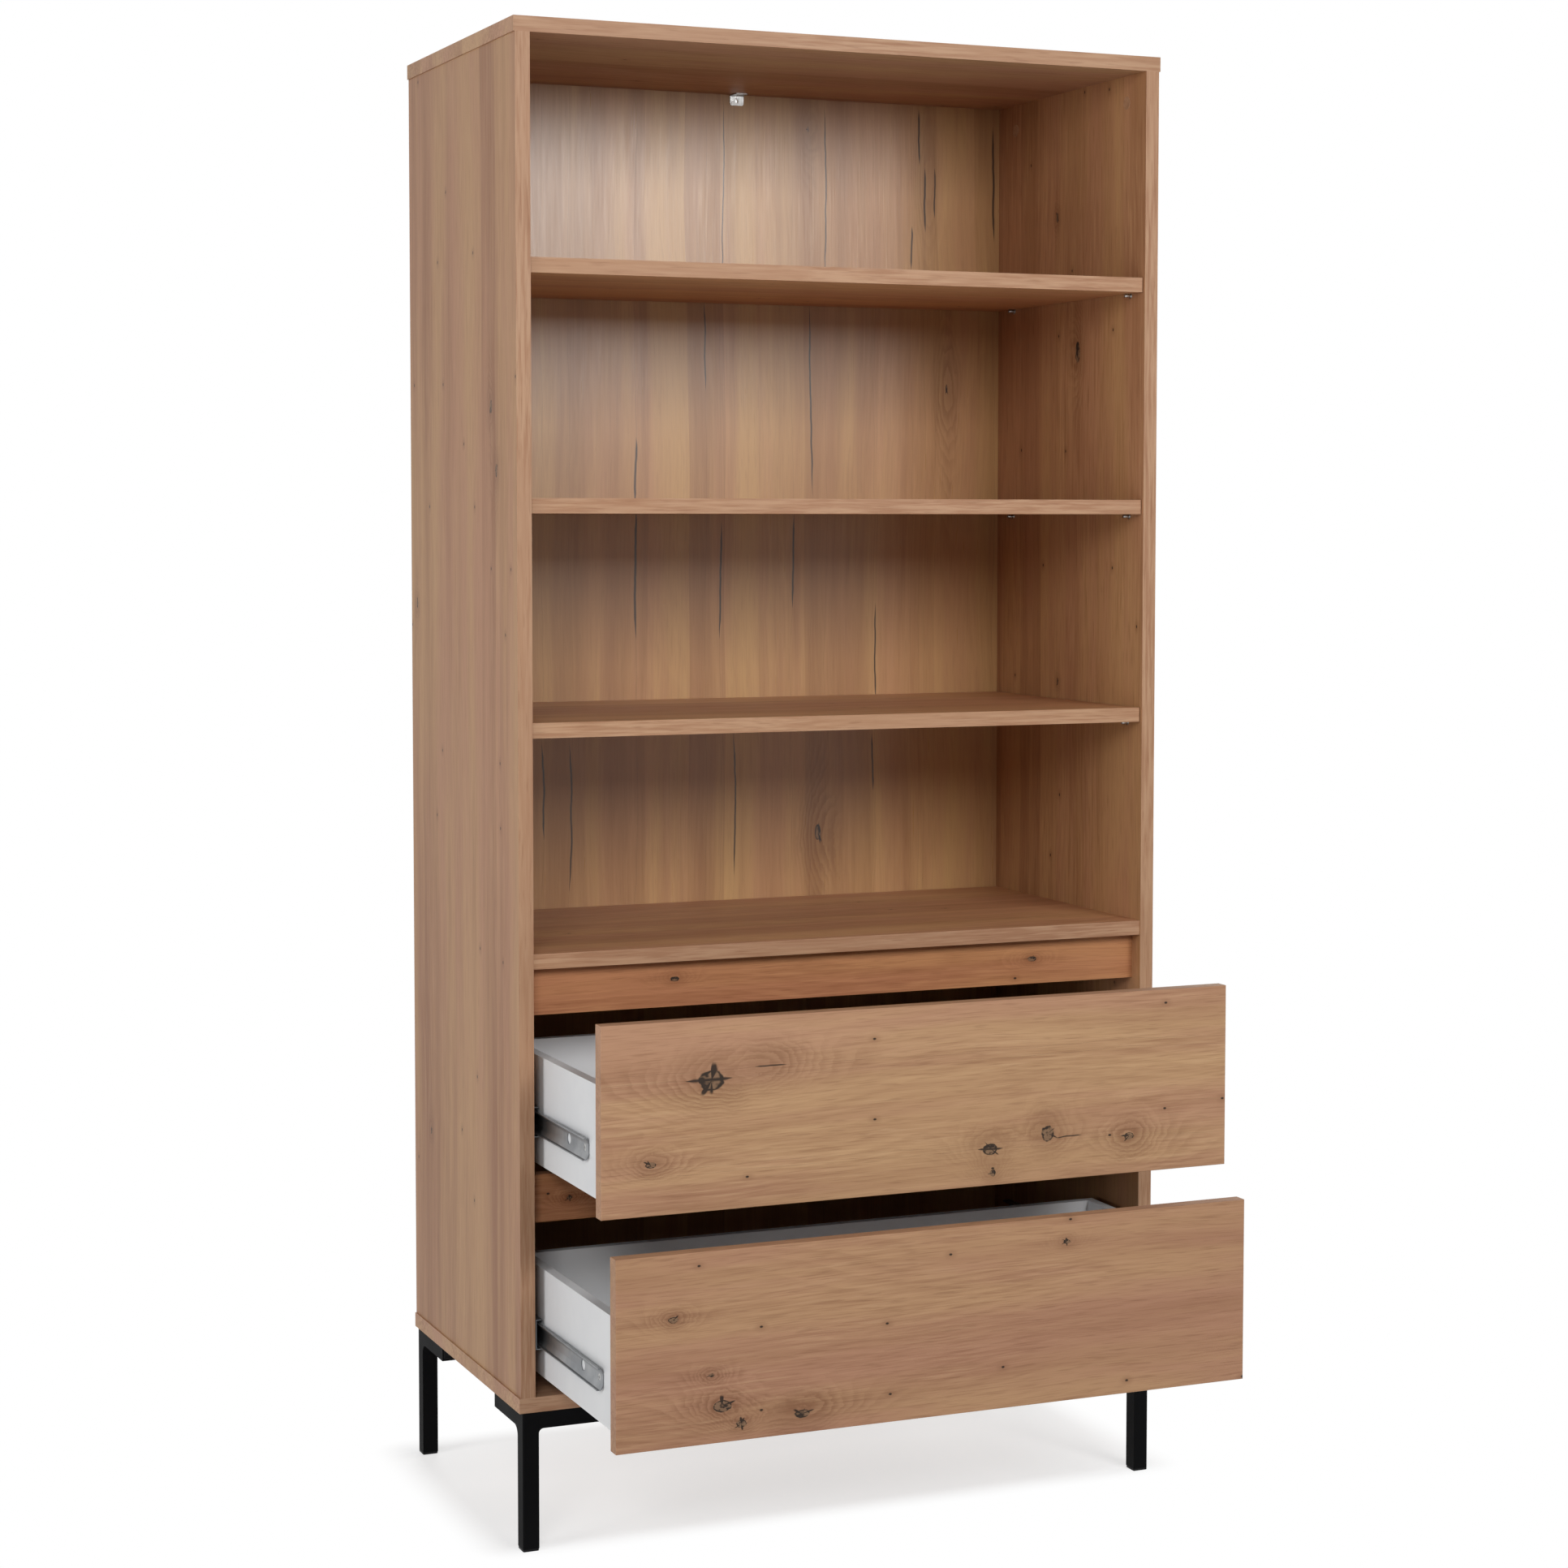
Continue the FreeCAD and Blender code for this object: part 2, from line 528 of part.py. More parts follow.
cross_board("fixed_shelf", "fixed_shelf_setback", SHELF_REAR, SHELF_UNDER, "board",
            [(row, FIXED_SHELF_Z) for row in CAM_ROWS], [(row, FIXED_SHELF_Z) for row in DOWEL_ROWS],
            "Z", SHELF_UNDER)
RAIL_REAR = "(rail_setback + board)"
for number, (label, low) in enumerate((("upper_rail", UPPER_RAIL_Z), ("middle_rail", MIDDLE_RAIL_Z))):
    cross_board(label, "rail_setback", RAIL_REAR, low, "rail_height",
                [RAIL_CAMS[number]], [RAIL_DOWELS[number]], "Y", RAIL_REAR)

for label, top in (("lower_shelf", "lower_shelf_top"), ("middle_shelf", "middle_shelf_top"),
                   ("upper_shelf", "upper_shelf_top")):
    half = f"({SIDE_INNER} - shelf_end_play)"
    board(label, f"-{half}", half, "shelf_setback", SHELF_REAR, f"({top} - board)", top)

# ---------------------------------------------------------------------------------------------
# The fittings of the carcass: dowels, cams, cam bolts, cover caps and shelf pins
# ---------------------------------------------------------------------------------------------
dowels = []
cams = []
caps = []
pins = []


def cam_and_bolt(x, y, z, cam_axis, bolt_axis, depth):
    """A cam let into a board, and the bolt that it draws, which runs along bolt_axis into the next
    board. Each place is a pair: the cam's own, and the bolt's. The bolt starts at the cam's rim."""
    cam = rod("cam_radius", depth, x[0], y[0], z[0], cam_axis, CAM_FLATS)
    rim = moved(x[1], y[1], z[1], bolt_axis, f"cam_radius + {PLAY}")
    joint = moved(x[1], y[1], z[1], bolt_axis, "cam_line")
    shank = rod("cam_bolt_radius", f"cam_line - cam_radius - 2 * {PLAY}", *rim, bolt_axis)
    start = moved(*joint, bolt_axis, f"-{PLAY}")
    thread = rod("cam_thread_radius", f"cam_thread + {PLAY}", *start, bolt_axis)
    return [cam, joined([shank, thread])]


for side in (-1, 1):
    sign = "-" if side < 0 else ""
    outwards = "-X" if side < 0 else "X"
    middle = f"{sign}({SIDE_INNER} + board / 2)"
    inner = f"{sign}{SIDE_INNER}"
    for at, up in ((BOTTOM_TOP, False), (TOP_UNDER, True)):
        start = f"({at} - {DOWEL_IN_EDGE})" if up else f"({at} - dowel_in_face)"
        cam_z = f"({at} - cam_line)" if up else f"({at} + cam_line)"
        for row in DOWEL_ROWS:
            dowels.append(rod("dowel_radius", "dowel_length", middle, row, start, "Z"))
        for row in CAM_ROWS:
            cams += cam_and_bolt((inner, middle), (row, row), (cam_z, cam_z), outwards,
                                 "Z" if up else "-Z", "cam_depth")
            caps.append(rod("cap_radius", "cap_thickness", inner, row, cam_z,
                            "X" if side < 0 else "-X", CAP_FLATS))
    cam_x = f"{sign}({SIDE_INNER} - cam_line)"
    dowel_x = f"{sign}({SIDE_INNER} - {DOWEL_IN_EDGE})"
    for row in DOWEL_ROWS:
        dowels.append(rod("dowel_radius", "dowel_length", dowel_x, row, FIXED_SHELF_Z, outwards))
    for row in CAM_ROWS:
        cams += cam_and_bolt((cam_x, cam_x), (row, row), (SHELF_UNDER, FIXED_SHELF_Z), "Z",
                             outwards, "cam_depth")
    for y, z in RAIL_DOWELS:
        dowels.append(rod("dowel_radius", "dowel_length", dowel_x, y, z, outwards))
    for y, z in RAIL_CAMS:
        cams += cam_and_bolt((cam_x, cam_x), (RAIL_REAR, y), (z, z), "-Y", outwards, "cam_depth")
    for y, z in PIN_PLACES:
        start = f"{sign}({SIDE_INNER} + pin_length_in)"
        inwards = "X" if side < 0 else "-X"
        shank = rod("pin_radius", "pin_length_in + pin_length_out", start, y, z, inwards)
        # the collar is thinner than the play at the shelf's end, so the shelf lies on the shank alone
        collar = rod("pin_collar_radius", "pin_collar", inner, y, z, inwards)
        pins.append(joined([shank, collar]))
group("carcass_dowels", dowels)
group("cam_fittings", cams)
group("cam_cover_caps", caps)
group("shelf_pins", pins)

# ---------------------------------------------------------------------------------------------
# The wall bracket, which keeps the bookcase from tipping
# ---------------------------------------------------------------------------------------------
bracket = new_body("wall_bracket", x="bracket_shift")
profile = new_sketch(bracket, "X", "-bracket_width / 2")
draw_polygon(profile, [
    (BACK_FRONT, f"({TOP_UNDER} - bracket_drop)"),
    (BACK_FRONT, TOP_UNDER),
    (f"({BACK_FRONT} - bracket_reach)", TOP_UNDER),
    (f"({BACK_FRONT} - bracket_reach)", f"({TOP_UNDER} - bracket_sheet)"),
    (f"({BACK_FRONT} - bracket_sheet)", f"({TOP_UNDER} - bracket_sheet)"),
    (f"({BACK_FRONT} - bracket_sheet)", f"({TOP_UNDER} - bracket_drop)"),
])
pad(bracket, profile, "bracket_width")
cut_holes(bracket, "Y", f"({BACK_FRONT} - bracket_sheet)", [("0", WALL_HOLE_Z)],
          "wall_screw_hole_radius", "bracket_sheet")
drill(bracket, "Z", f"({TOP_UNDER} - bracket_sheet)", [("0", BRACKET_SCREW_Y)],
      f"screw_radius + {PLAY}", "bracket_sheet")
drilled(bracket)


def screw(head, head_length, shank, length, x, y, z, axis):
    """A screw from the outer face of its head, whose middle is x, y and z. length is the shank's."""
    under_head = moved(x, y, z, axis, head_length)
    return joined([rod(head, head_length, x, y, z, axis),
                   rod(shank, length, *under_head, axis)])


wood_screws = [screw("screw_head_radius", "screw_head", "screw_radius",
                     "bracket_sheet + screw_length", "bracket_shift",
                     BRACKET_SCREW_Y, f"({TOP_UNDER} - bracket_sheet - screw_head)", "Z")]

# ---------------------------------------------------------------------------------------------
# The legs: a post and two arms of square tube, with a plastic glide and plugged ends
# ---------------------------------------------------------------------------------------------
ARM_UNDER = "(leg_height - leg_tube)"


def draw_weld(sketch, across, up, away, radius):
    """The concave corner between a post and the arm above it. away is -1 or 1, away from the post."""
    far = f"({across} + {away} * {radius})"
    low = f"({up} - {radius})"
    a, b = value_of(across), value_of(up)
    size = value_of(radius)
    corner = Vector(a, b, 0)
    on_arm = Vector(a + away * size, b, 0)
    on_post = Vector(a, b - size, 0)
    along = sketch.addGeometry(Part.LineSegment(corner, on_arm), False)
    down = sketch.addGeometry(Part.LineSegment(on_post, corner), False)
    circle = Part.Circle(Vector(a + away * size, b - size, 0), Vector(0, 0, 1), size)
    turns = (math.pi / 2, math.pi) if away > 0 else (0, math.pi / 2)
    arc = sketch.addGeometry(Part.ArcOfCircle(circle, *turns), False)
    arm_end, post_end = (1, 2) if away > 0 else (2, 1)
    sketch.addConstraint(Sketcher.Constraint("Coincident", along, 2, arc, arm_end))
    sketch.addConstraint(Sketcher.Constraint("Coincident", arc, post_end, down, 1))
    sketch.addConstraint(Sketcher.Constraint("Coincident", down, 2, along, 1))
    pin_point(sketch, along, 1, across, up)
    pin_point(sketch, along, 2, far, up)
    pin_point(sketch, down, 1, across, low)
    sketch.addConstraint(Sketcher.Constraint("Vertical", arc, 3, along, 2))


def leg(label, side, end):
    """One leg. side is -1 on the left and 1 on the right, end is front or rear."""
    sign = "-" if side < 0 else ""
    body = new_body(label)
    outer_x = f"{sign}({HALF_WIDTH} - leg_end_inset)"
    inner_x = f"{sign}({HALF_WIDTH} - leg_end_inset - leg_tube)"
    tip_x = f"{sign}({HALF_WIDTH} - leg_end_inset - leg_arm)"
    into = 1 if end == "front" else -1
    outer_y = "0" if into > 0 else "depth"
    inner_y = "leg_tube" if into > 0 else "(depth - leg_tube)"
    tip_y = "leg_arm" if into > 0 else "(depth - leg_arm)"
    post = new_sketch(body, "Z", "glide_thickness")
    draw_box(post, outer_x, inner_x, outer_y, inner_y)
    pad(body, post, "leg_height - glide_thickness")
    arm = new_sketch(body, "Z", ARM_UNDER)
    draw_box(arm, outer_x, inner_x, outer_y, tip_y)
    pad(body, arm, "leg_tube")
    arm = new_sketch(body, "Z", ARM_UNDER)
    draw_box(arm, outer_x, tip_x, outer_y, inner_y)
    pad(body, arm, "leg_tube")
    round_edges(body, lambda p: (near(p.x, outer_x) and near(p.y, outer_y)
                                 and p.z < value_of("leg_height") + 1), "leg_corner")
    side_weld = new_sketch(body, "X", outer_x)
    draw_weld(side_weld, inner_y, ARM_UNDER, into, "leg_side_fillet")
    pad(body, side_weld, "leg_tube", backwards=side > 0)
    front_weld = new_sketch(body, "Y", outer_y)
    draw_weld(front_weld, inner_x, ARM_UNDER, -side, "leg_front_fillet")
    pad(body, front_weld, "leg_tube", backwards=into < 0)
    hollow = new_sketch(body, "Z", "glide_thickness")
    wall_x = f"{sign}({HALF_WIDTH} - leg_end_inset - leg_wall)"
    hollow_x = f"{sign}({HALF_WIDTH} - leg_end_inset - leg_tube + leg_wall)"
    wall_y = "leg_wall" if into > 0 else "(depth - leg_wall)"
    hollow_y = "(leg_tube - leg_wall)" if into > 0 else "(depth - leg_tube + leg_wall)"
    draw_box(hollow, wall_x, hollow_x, wall_y, hollow_y)
    pocket(body, hollow, "leg_height - glide_thickness - leg_wall")
    low = f"({ARM_UNDER} + leg_wall)"
    high = "(leg_height - leg_wall)"
    inside_y = new_sketch(body, "Y", tip_y)
    draw_box(inside_y, wall_x, hollow_x, low, high)
    pocket(body, inside_y, "leg_arm - leg_tube + leg_wall", backwards=into > 0)
    inside_x = new_sketch(body, "X", tip_x)
    draw_box(inside_x, wall_y, hollow_y, low, high)
    pocket(body, inside_x, "leg_arm - leg_tube + leg_wall", backwards=side < 0)
    places = leg_screw_places(sign, end)
    drill(body, "Z", "(leg_height - leg_wall)", places, f"leg_screw_radius + {PLAY}", "leg_wall")
    drill(body, "Z", ARM_UNDER, places, "leg_screw_head_radius + leg_screw_access", "leg_wall")
    return drilled(body)


glides = []
plugs = []
for side, word in ((-1, "left"), (1, "right")):
    for end in ("front", "rear"):
        leg(f"{end}_{word}_leg", side, end)
        sign = "-" if side < 0 else ""
        into = 1 if end == "front" else -1
        outside = f"({HALF_WIDTH} - leg_end_inset)"
        x_low = f"-{outside}" if side < 0 else f"({outside} - leg_tube)"
        y_low = "0" if into > 0 else "(depth - leg_tube)"
        foot = doc.addObject("Part::Box", "Foot")
        plug = doc.addObject("Part::Box", "Plug")
        inset = "(leg_wall + glide_plug_play)"
        for block, inwards, size, low, tall in ((foot, "0", "leg_tube", "0", "glide_thickness"),
                                                (plug, inset, f"leg_tube - 2 * {inset}", "0",
                                                 "glide_thickness + glide_plug")):
            block.setExpression("Length", bound(size))
            block.setExpression("Width", bound(size))
            block.setExpression("Height", bound(tall))
            block.setExpression("Placement.Base.x", bound(f"{x_low} + {inwards}"))
            block.setExpression("Placement.Base.y", bound(f"{FRONT_LINE} + {y_low} + {inwards}"))
            block.setExpression("Placement.Base.z", bound(low))
        glides.append(joined([foot, plug]))
        for axis in ("X", "Y"):
            arm_plug = doc.addObject("Part::Box", "ArmPlug")
            tip_x = f"{sign}({HALF_WIDTH} - leg_end_inset - leg_arm)"
            tip_y = "leg_arm" if into > 0 else "(depth - leg_arm)"
            wide = f"leg_tube - 2 * {inset}"
            arm_plug.setExpression("Height", bound(wide))
            arm_plug.setExpression("Placement.Base.z", bound(f"{ARM_UNDER} + {inset}"))
            if axis == "X":
                arm_plug.setExpression("Length", bound("arm_plug"))
                arm_plug.setExpression("Width", bound(wide))
                shift = "- arm_plug" if side < 0 else ""
                arm_plug.setExpression("Placement.Base.x", bound(f"{tip_x} {shift}"))
                arm_plug.setExpression("Placement.Base.y", bound(f"{FRONT_LINE} + {y_low} + {inset}"))
            else:
                arm_plug.setExpression("Length", bound(wide))
                arm_plug.setExpression("Width", bound("arm_plug"))
                shift = "- arm_plug" if into > 0 else ""
                arm_plug.setExpression("Placement.Base.x", bound(f"{x_low} + {inset}"))
                arm_plug.setExpression("Placement.Base.y", bound(f"{FRONT_LINE} + {tip_y} {shift}"))
            plugs.append(arm_plug)
group("foot_glides", glides)
group("arm_end_plugs", plugs)
group("leg_screws", [screw("leg_screw_head_radius", "leg_screw_head", "leg_screw_radius",
                           "leg_wall + leg_screw_bite", x, y,
                           "(leg_height - leg_wall - leg_screw_head)", "Z")
                     for x, y in LEG_SCREWS])

# ---------------------------------------------------------------------------------------------
# The drawer slides. u runs from the carcass side towards the drawer, w up from the slide's axis
# ---------------------------------------------------------------------------------------------
OUTER_RACE = "(cabinet_member_height / 2 - member_sheet)"
MIDDLE_OUTSIDE = "(middle_member_height / 2)"
MIDDLE_INSIDE = "(middle_member_height / 2 - middle_sheet)"
INNER_RACE = "(drawer_member_height / 2)"
OUTER_BALL = f"(({OUTER_RACE} - {MIDDLE_OUTSIDE}) / 2 - ball_play)"
INNER_BALL = f"(({MIDDLE_INSIDE} - {INNER_RACE}) / 2 - ball_play)"
OUTER_BALL_W = f"(({OUTER_RACE} + {MIDDLE_OUTSIDE}) / 2)"
INNER_BALL_W = f"(({MIDDLE_INSIDE} + {INNER_RACE}) / 2)"
BALLS_IN_A_ROW = 3
MIDDLE_SHARE = 0.2  # how far the middle member travels, as a share of the drawer's way


def place_x(side, u):
    """Where a distance from the carcass side's inner face lies along X."""
    return f"{'-' if side < 0 else ''}({SIDE_INNER} - ({u}))"


def channel(label, side, z, web, tip, half, sheet_name, front, length, lip=None, bend=None, y="0"):
    """A member or cage: a web and two flanges, rolled in one, running back from its front end.
    lip turns the flanges' edges in. bend is where a sloping corner between web and flange ends, and
    half the height of the flat web."""
    body = new_body(label, y=y, z=z)
    sketch = new_sketch(body, "Y", front)
    opens_out = value_of(tip) > value_of(web)
    inside = f"({web} + {sheet_name})" if opens_out else f"({web} - {sheet_name})"
    behind_tip = f"({tip} - {sheet_name})" if opens_out else f"({tip} + {sheet_name})"
    if bend:
        half_outline = [(web, bend[1]), (bend[0], f"({half})"), (tip, f"({half})")]
    else:
        half_outline = [(web, f"({half})"), (tip, f"({half})")]
    if lip:
        half_outline += [(tip, f"({half} - {sheet_name} - {lip})"),
                         (behind_tip, f"({half} - {sheet_name} - {lip})"),
                         (behind_tip, f"({half} - {sheet_name})")]
    else:
        half_outline += [(tip, f"({half} - {sheet_name})")]
    if bend:
        half_outline += [(f"({bend[0]} - {sheet_name} / 2)", f"({half} - {sheet_name})"),
                         (inside, f"({bend[1]} - {sheet_name} / 2)")]
    else:
        half_outline += [(inside, f"({half} - {sheet_name})")]
    outline = half_outline + [(u, f"-{w}") for u, w in reversed(half_outline)]
    draw_polygon(sketch, [(place_x(side, u), w) for u, w in outline])
    pad(body, sketch, length)
    return body


def ball(radius, x, y, z):
    """A ball with twenty flat faces, light enough to repeat."""
    golden = (1 + math.sqrt(5)) / 2
    corners = []
    for a in (-1, 1):
        for b in (-golden, golden):
            corners += [Vector(0, a, b), Vector(a, b, 0), Vector(b, 0, a)]
    size = value_of(radius) / corners[0].Length
    faces = []
    for three in itertools.combinations(corners, 3):
        p, q, r = three
        if max((p - q).Length, (q - r).Length, (r - p).Length) > 2.01:
            continue
        if (q - p).cross(r - p).dot(p) < 0:
            q, r = r, q
        faces.append(Part.Face(Part.makePolygon([p * size, q * size, r * size, p * size])))
    solid = doc.addObject("Part::Feature", "Ball")
    solid.Shape = Part.makeSolid(Part.makeShell(faces))
    solid.setExpression("Placement.Base.x", bound(x))
    solid.setExpression("Placement.Base.y", bound(f"{FRONT_LINE} + ({y})"))
    solid.setExpression("Placement.Base.z", bound(z))
    return solid


def ball_cage(label, side, z, shift, length, web, tip, line, ball_radius, ball_w):
    """A bent strip with a row of balls in windows along each flange, shifted with the drawer."""
    front = f"(slide_setback + {SLIDE_LENGTH} / 2 - {length} / 2)"
    y = f"-{shift}"
    half = f"({ball_w} + cage_sheet / 2)"
    cage = channel(f"{label}_strip", side, z, web, tip, half, "cage_sheet", front, length, y=y)
    along = [f"({front} + {length} * {(n + 0.5) / BALLS_IN_A_ROW})" for n in range(BALLS_IN_A_ROW)]
    window = f"({ball_radius} + ball_pocket_play)"
    windows = new_sketch(cage, "Z", f"-{half}")
    for v in along:
        draw_box(windows, place_x(side, f"{line} + {window}"), place_x(side, f"{line} - {window}"),
                 f"({v} - {window})", f"({v} + {window})")
    pocket(cage, windows, f"2 * {half}")
    balls = [ball(ball_radius, place_x(side, line), f"{y} + {v}", f"{z} + {w}")
             for v in along for w in (ball_w, f"-{ball_w}")]
    group(label, [cage] + balls)


for level, front_z, pull in (("lower", LOWER_FRONT_Z, "lower_drawer_pull"),
                             ("upper", UPPER_FRONT_Z, "upper_drawer_pull")):
    axis_z = f"({front_z} + {SLIDE_Z})"
    for side, word in ((-1, "left"), (1, "right")):
        name = f"{level}_{word}"
        cabinet_member = channel(f"{name}_cabinet_member", side, axis_z, "0", "cabinet_member_depth",
                                 "cabinet_member_height / 2", "member_sheet", "slide_setback",
                                 SLIDE_LENGTH, lip="cabinet_member_lip")
        places = [(f"(slide_setback + {v})", "0") for v in SLIDE_SCREWS]
        drill(cabinet_member, "X", place_x(side, "0"), places, f"screw_radius + {PLAY}",
              "member_sheet", backwards=side > 0)
        drilled(cabinet_member)
        for v in SLIDE_SCREWS:
            wood_screws.append(screw("screw_head_radius", "screw_head", "screw_radius",
                                      "member_sheet + screw_length",
                                      place_x(side, "member_sheet + screw_head"),
                                      f"slide_setback + {v}", axis_z, "-X" if side < 0 else "X"))
        channel(f"{name}_middle_member", side, axis_z, "middle_member_near", "middle_member_far",
                MIDDLE_OUTSIDE, "middle_sheet", "slide_setback", SLIDE_LENGTH,
                y=f"-{MIDDLE_SHARE} * {pull}")
        # each row of balls rolls half as far as the member that runs on it
        ball_cage(f"{name}_outer_ball_cage", side, axis_z, f"{MIDDLE_SHARE / 2} * {pull}",
                  "outer_cage_length", "outer_cage_near", "outer_cage_far", "outer_ball_line",
                  OUTER_BALL, OUTER_BALL_W)
        ball_cage(f"{name}_inner_ball_cage", side, axis_z, f"{(MIDDLE_SHARE + 1) / 2} * {pull}",
                  "inner_cage_length", "inner_cage_near", "inner_cage_far", "inner_ball_line",
                  INNER_BALL, INNER_BALL_W)
group("carcass_screws", wood_screws)

# ---------------------------------------------------------------------------------------------
# The drawers. Each drawer's own frame stands at the lower edge of its front's face
# ---------------------------------------------------------------------------------------------
FRONT_HALF = f"({SIDE_INNER} - front_side_gap)"
BOX_INNER = f"({BOX_OUTER} - box_board)"
BOX_REAR = "(board + box_length)"
GROOVE_LOW = "(box_lift + box_bottom_rise - groove_play)"
GROOVE_HIGH = "(box_lift + box_bottom_rise + box_bottom_board + groove_play)"
BOX_TOP = "(box_lift + box_height)"
BOX_FIXINGS = ["(box_lift + box_low_fixing)", "(box_lift + box_height - box_high_fixing)"]
BOX_CAM_Z = "(box_lift + box_cam_rise)"


def drawer(level, z, pull):
    """A front on a four-board box with its bottom in grooves, and the inner slide members."""
    y = f"-{pull}"
    front = board(f"{level}_drawer_front", f"-{FRONT_HALF}", FRONT_HALF, "0", "board", "0",
                  "front_height", y=y, z=z)
    round_edges(front, lambda p: abs(p.y) < 0.01, "front_easing")
    groove = (f"-({BOX_INNER} + box_groove_depth)", f"({BOX_INNER} + box_groove_depth)",
              GROOVE_LOW, GROOVE_HIGH)
    cut_box(front, "Y", "board", groove, "box_groove_depth", backwards=True)
    middle = f"({BOX_OUTER} - box_board / 2)"
    drill(front, "Y", "board", [(f"{s}{middle}", h) for s in ("-", "") for h in BOX_FIXINGS],
          f"dowel_radius + {PLAY}", "dowel_in_face + dowel_end_play", backwards=True)
    drill(front, "Y", "board", [(f"{s}{middle}", BOX_CAM_Z) for s in ("-", "")],
          f"cam_thread_radius + {PLAY}", "cam_thread + dowel_end_play", backwards=True)
    drilled(front)
    back = board(f"{level}_drawer_back", f"-{BOX_INNER}", BOX_INNER, f"({BOX_REAR} - box_board)",
                 BOX_REAR, "box_lift", BOX_TOP, y=y, z=z)
    cut_box(back, "Y", f"({BOX_REAR} - box_board)",
            (f"-{BOX_INNER}", BOX_INNER, GROOVE_LOW, GROOVE_HIGH), "box_groove_depth")
    base_half = f"({BOX_INNER} + box_groove_depth - groove_play)"
    board(f"{level}_drawer_bottom", f"-{base_half}", base_half,
          "(board - box_groove_depth + groove_play)",
          f"({BOX_REAR} - box_board + box_groove_depth - groove_play)",
          "(box_lift + box_bottom_rise)", "(box_lift + box_bottom_rise + box_bottom_board)", y=y, z=z)
    dowels = []
    cams = []
    screws = []
    for side, word in ((-1, "left"), (1, "right")):
        sign = "-" if side < 0 else ""
        outer = f"{sign}{BOX_OUTER}"
        inner = f"{sign}{BOX_INNER}"
        sides = (outer, inner) if side < 0 else (inner, outer)
        panel = board(f"{level}_drawer_{word}_side", *sides, "board", BOX_REAR, "box_lift", BOX_TOP,
                      y=y, z=z)
        cut_box(panel, "X", inner, ("board", f"({BOX_REAR} - box_board + box_groove_depth)",
                                    GROOVE_LOW, GROOVE_HIGH), "box_groove_depth", backwards=side < 0)
        rear = [(f"({BOX_REAR} - box_board / 2)", h) for h in BOX_FIXINGS]
        drill(panel, "Y", "board", [(f"{sign}{middle}", h) for h in BOX_FIXINGS],
              f"dowel_radius + {PLAY}", f"{DOWEL_IN_EDGE} + dowel_end_play")
        drill(panel, "X", inner, [("(board + cam_line)", BOX_CAM_Z)], f"cam_radius + {PLAY}",
              f"box_cam_depth + {PLAY}", backwards=side < 0, flats=CAM_FLATS)
        drill(panel, "Y", "board", [(f"{sign}{middle}", BOX_CAM_Z)],
              f"cam_bolt_radius + {PLAY}", "cam_line")
        drill(panel, "X", outer, rear, f"screw_radius + {PLAY}", "box_board",
              backwards=side > 0)
        drill(back, "X", inner, rear, f"screw_radius + {PLAY}",
              "back_screw_length - box_board + dowel_end_play", backwards=side > 0)
        fixings = [(f"(slide_setback + {v})", SLIDE_Z) for v in ("fixing_hole_place", MEMBER_SCREW)]
        drill(panel, "X", outer, fixings, f"screw_radius + {PLAY}",
              "box_screw_length + dowel_end_play", backwards=side > 0)
        drilled(panel)
        member = channel(f"{level}_{word}_drawer_member", side, f"({z} + {SLIDE_Z})", "slide_space",
                         "drawer_member_near", INNER_RACE, "member_sheet", "slide_setback",
                         SLIDE_LENGTH, bend=("drawer_member_bend", "(drawer_member_flat / 2)"), y=y)
        for place, radius, flats in (
            (MEMBER_SCREW, f"screw_radius + {PLAY}", FLATS),
            ("access_hole_place", "access_hole_radius", CAP_FLATS),
            ("fixing_hole_place", "fixing_hole_radius", CAP_FLATS),
        ):
            drill(member, "X", place_x(side, "slide_space"), [(f"(slide_setback + {place})", "0")],
                  radius, "member_sheet", backwards=side < 0, flats=flats)
        drilled(member)
        outwards = "-X" if side < 0 else "X"
        inwards = "X" if side < 0 else "-X"
        for h in BOX_FIXINGS:
            dowels.append(rod("dowel_radius", "dowel_length", f"{sign}{middle}",
                              f"{y} + board - dowel_in_face", f"{z} + {h}", "Y"))
            screws.append(screw("screw_head_radius", "screw_head", "screw_radius",
                                "back_screw_length",
                                f"{sign}({BOX_OUTER} + screw_head)",
                                f"{y} + {BOX_REAR} - box_board / 2", f"{z} + {h}", inwards))
        cam_y = f"{y} + board + cam_line"
        cam_z = f"{z} + {BOX_CAM_Z}"
        cams += cam_and_bolt((inner, f"{sign}{middle}"), (cam_y, cam_y), (cam_z, cam_z), outwards, "-Y",
                             "box_cam_depth")
        screws.append(screw("screw_head_radius", "screw_head", "screw_radius",
                            "member_sheet + box_screw_length",
                            place_x(side, "slide_space - member_sheet - screw_head"),
                            f"{y} + slide_setback + {MEMBER_SCREW}", f"{z} + {SLIDE_Z}", inwards))
        screws.append(screw(f"fixing_hole_radius - {PLAY}", "member_sheet", "screw_radius",
                            "box_screw_length", place_x(side, "slide_space - member_sheet"),
                            f"{y} + slide_setback + fixing_hole_place", f"{z} + {SLIDE_Z}", inwards))
    drilled(back)
    group(f"{level}_drawer_dowels", dowels)
    group(f"{level}_drawer_cams", cams)
    group(f"{level}_drawer_screws", screws)


drawer("upper", UPPER_FRONT_Z, "upper_drawer_pull")
drawer("lower", LOWER_FRONT_Z, "lower_drawer_pull")

# ---------------------------------------------------------------------------------------------
# Recompute, check every object, and write each piece
# ---------------------------------------------------------------------------------------------
doc.recompute()
bad = [o.Label for o in doc.Objects if "Invalid" in o.State or "Error" in o.State]
bad += [label for label, bars in drillings.items() for bar in bars
        if doc.getObjectsByLabel(f"{label}_blank")[0].Shape.common(bar.Shape).Volume < 0.01]
if bad:
    raise RuntimeError("failed objects: " + ", ".join(bad))

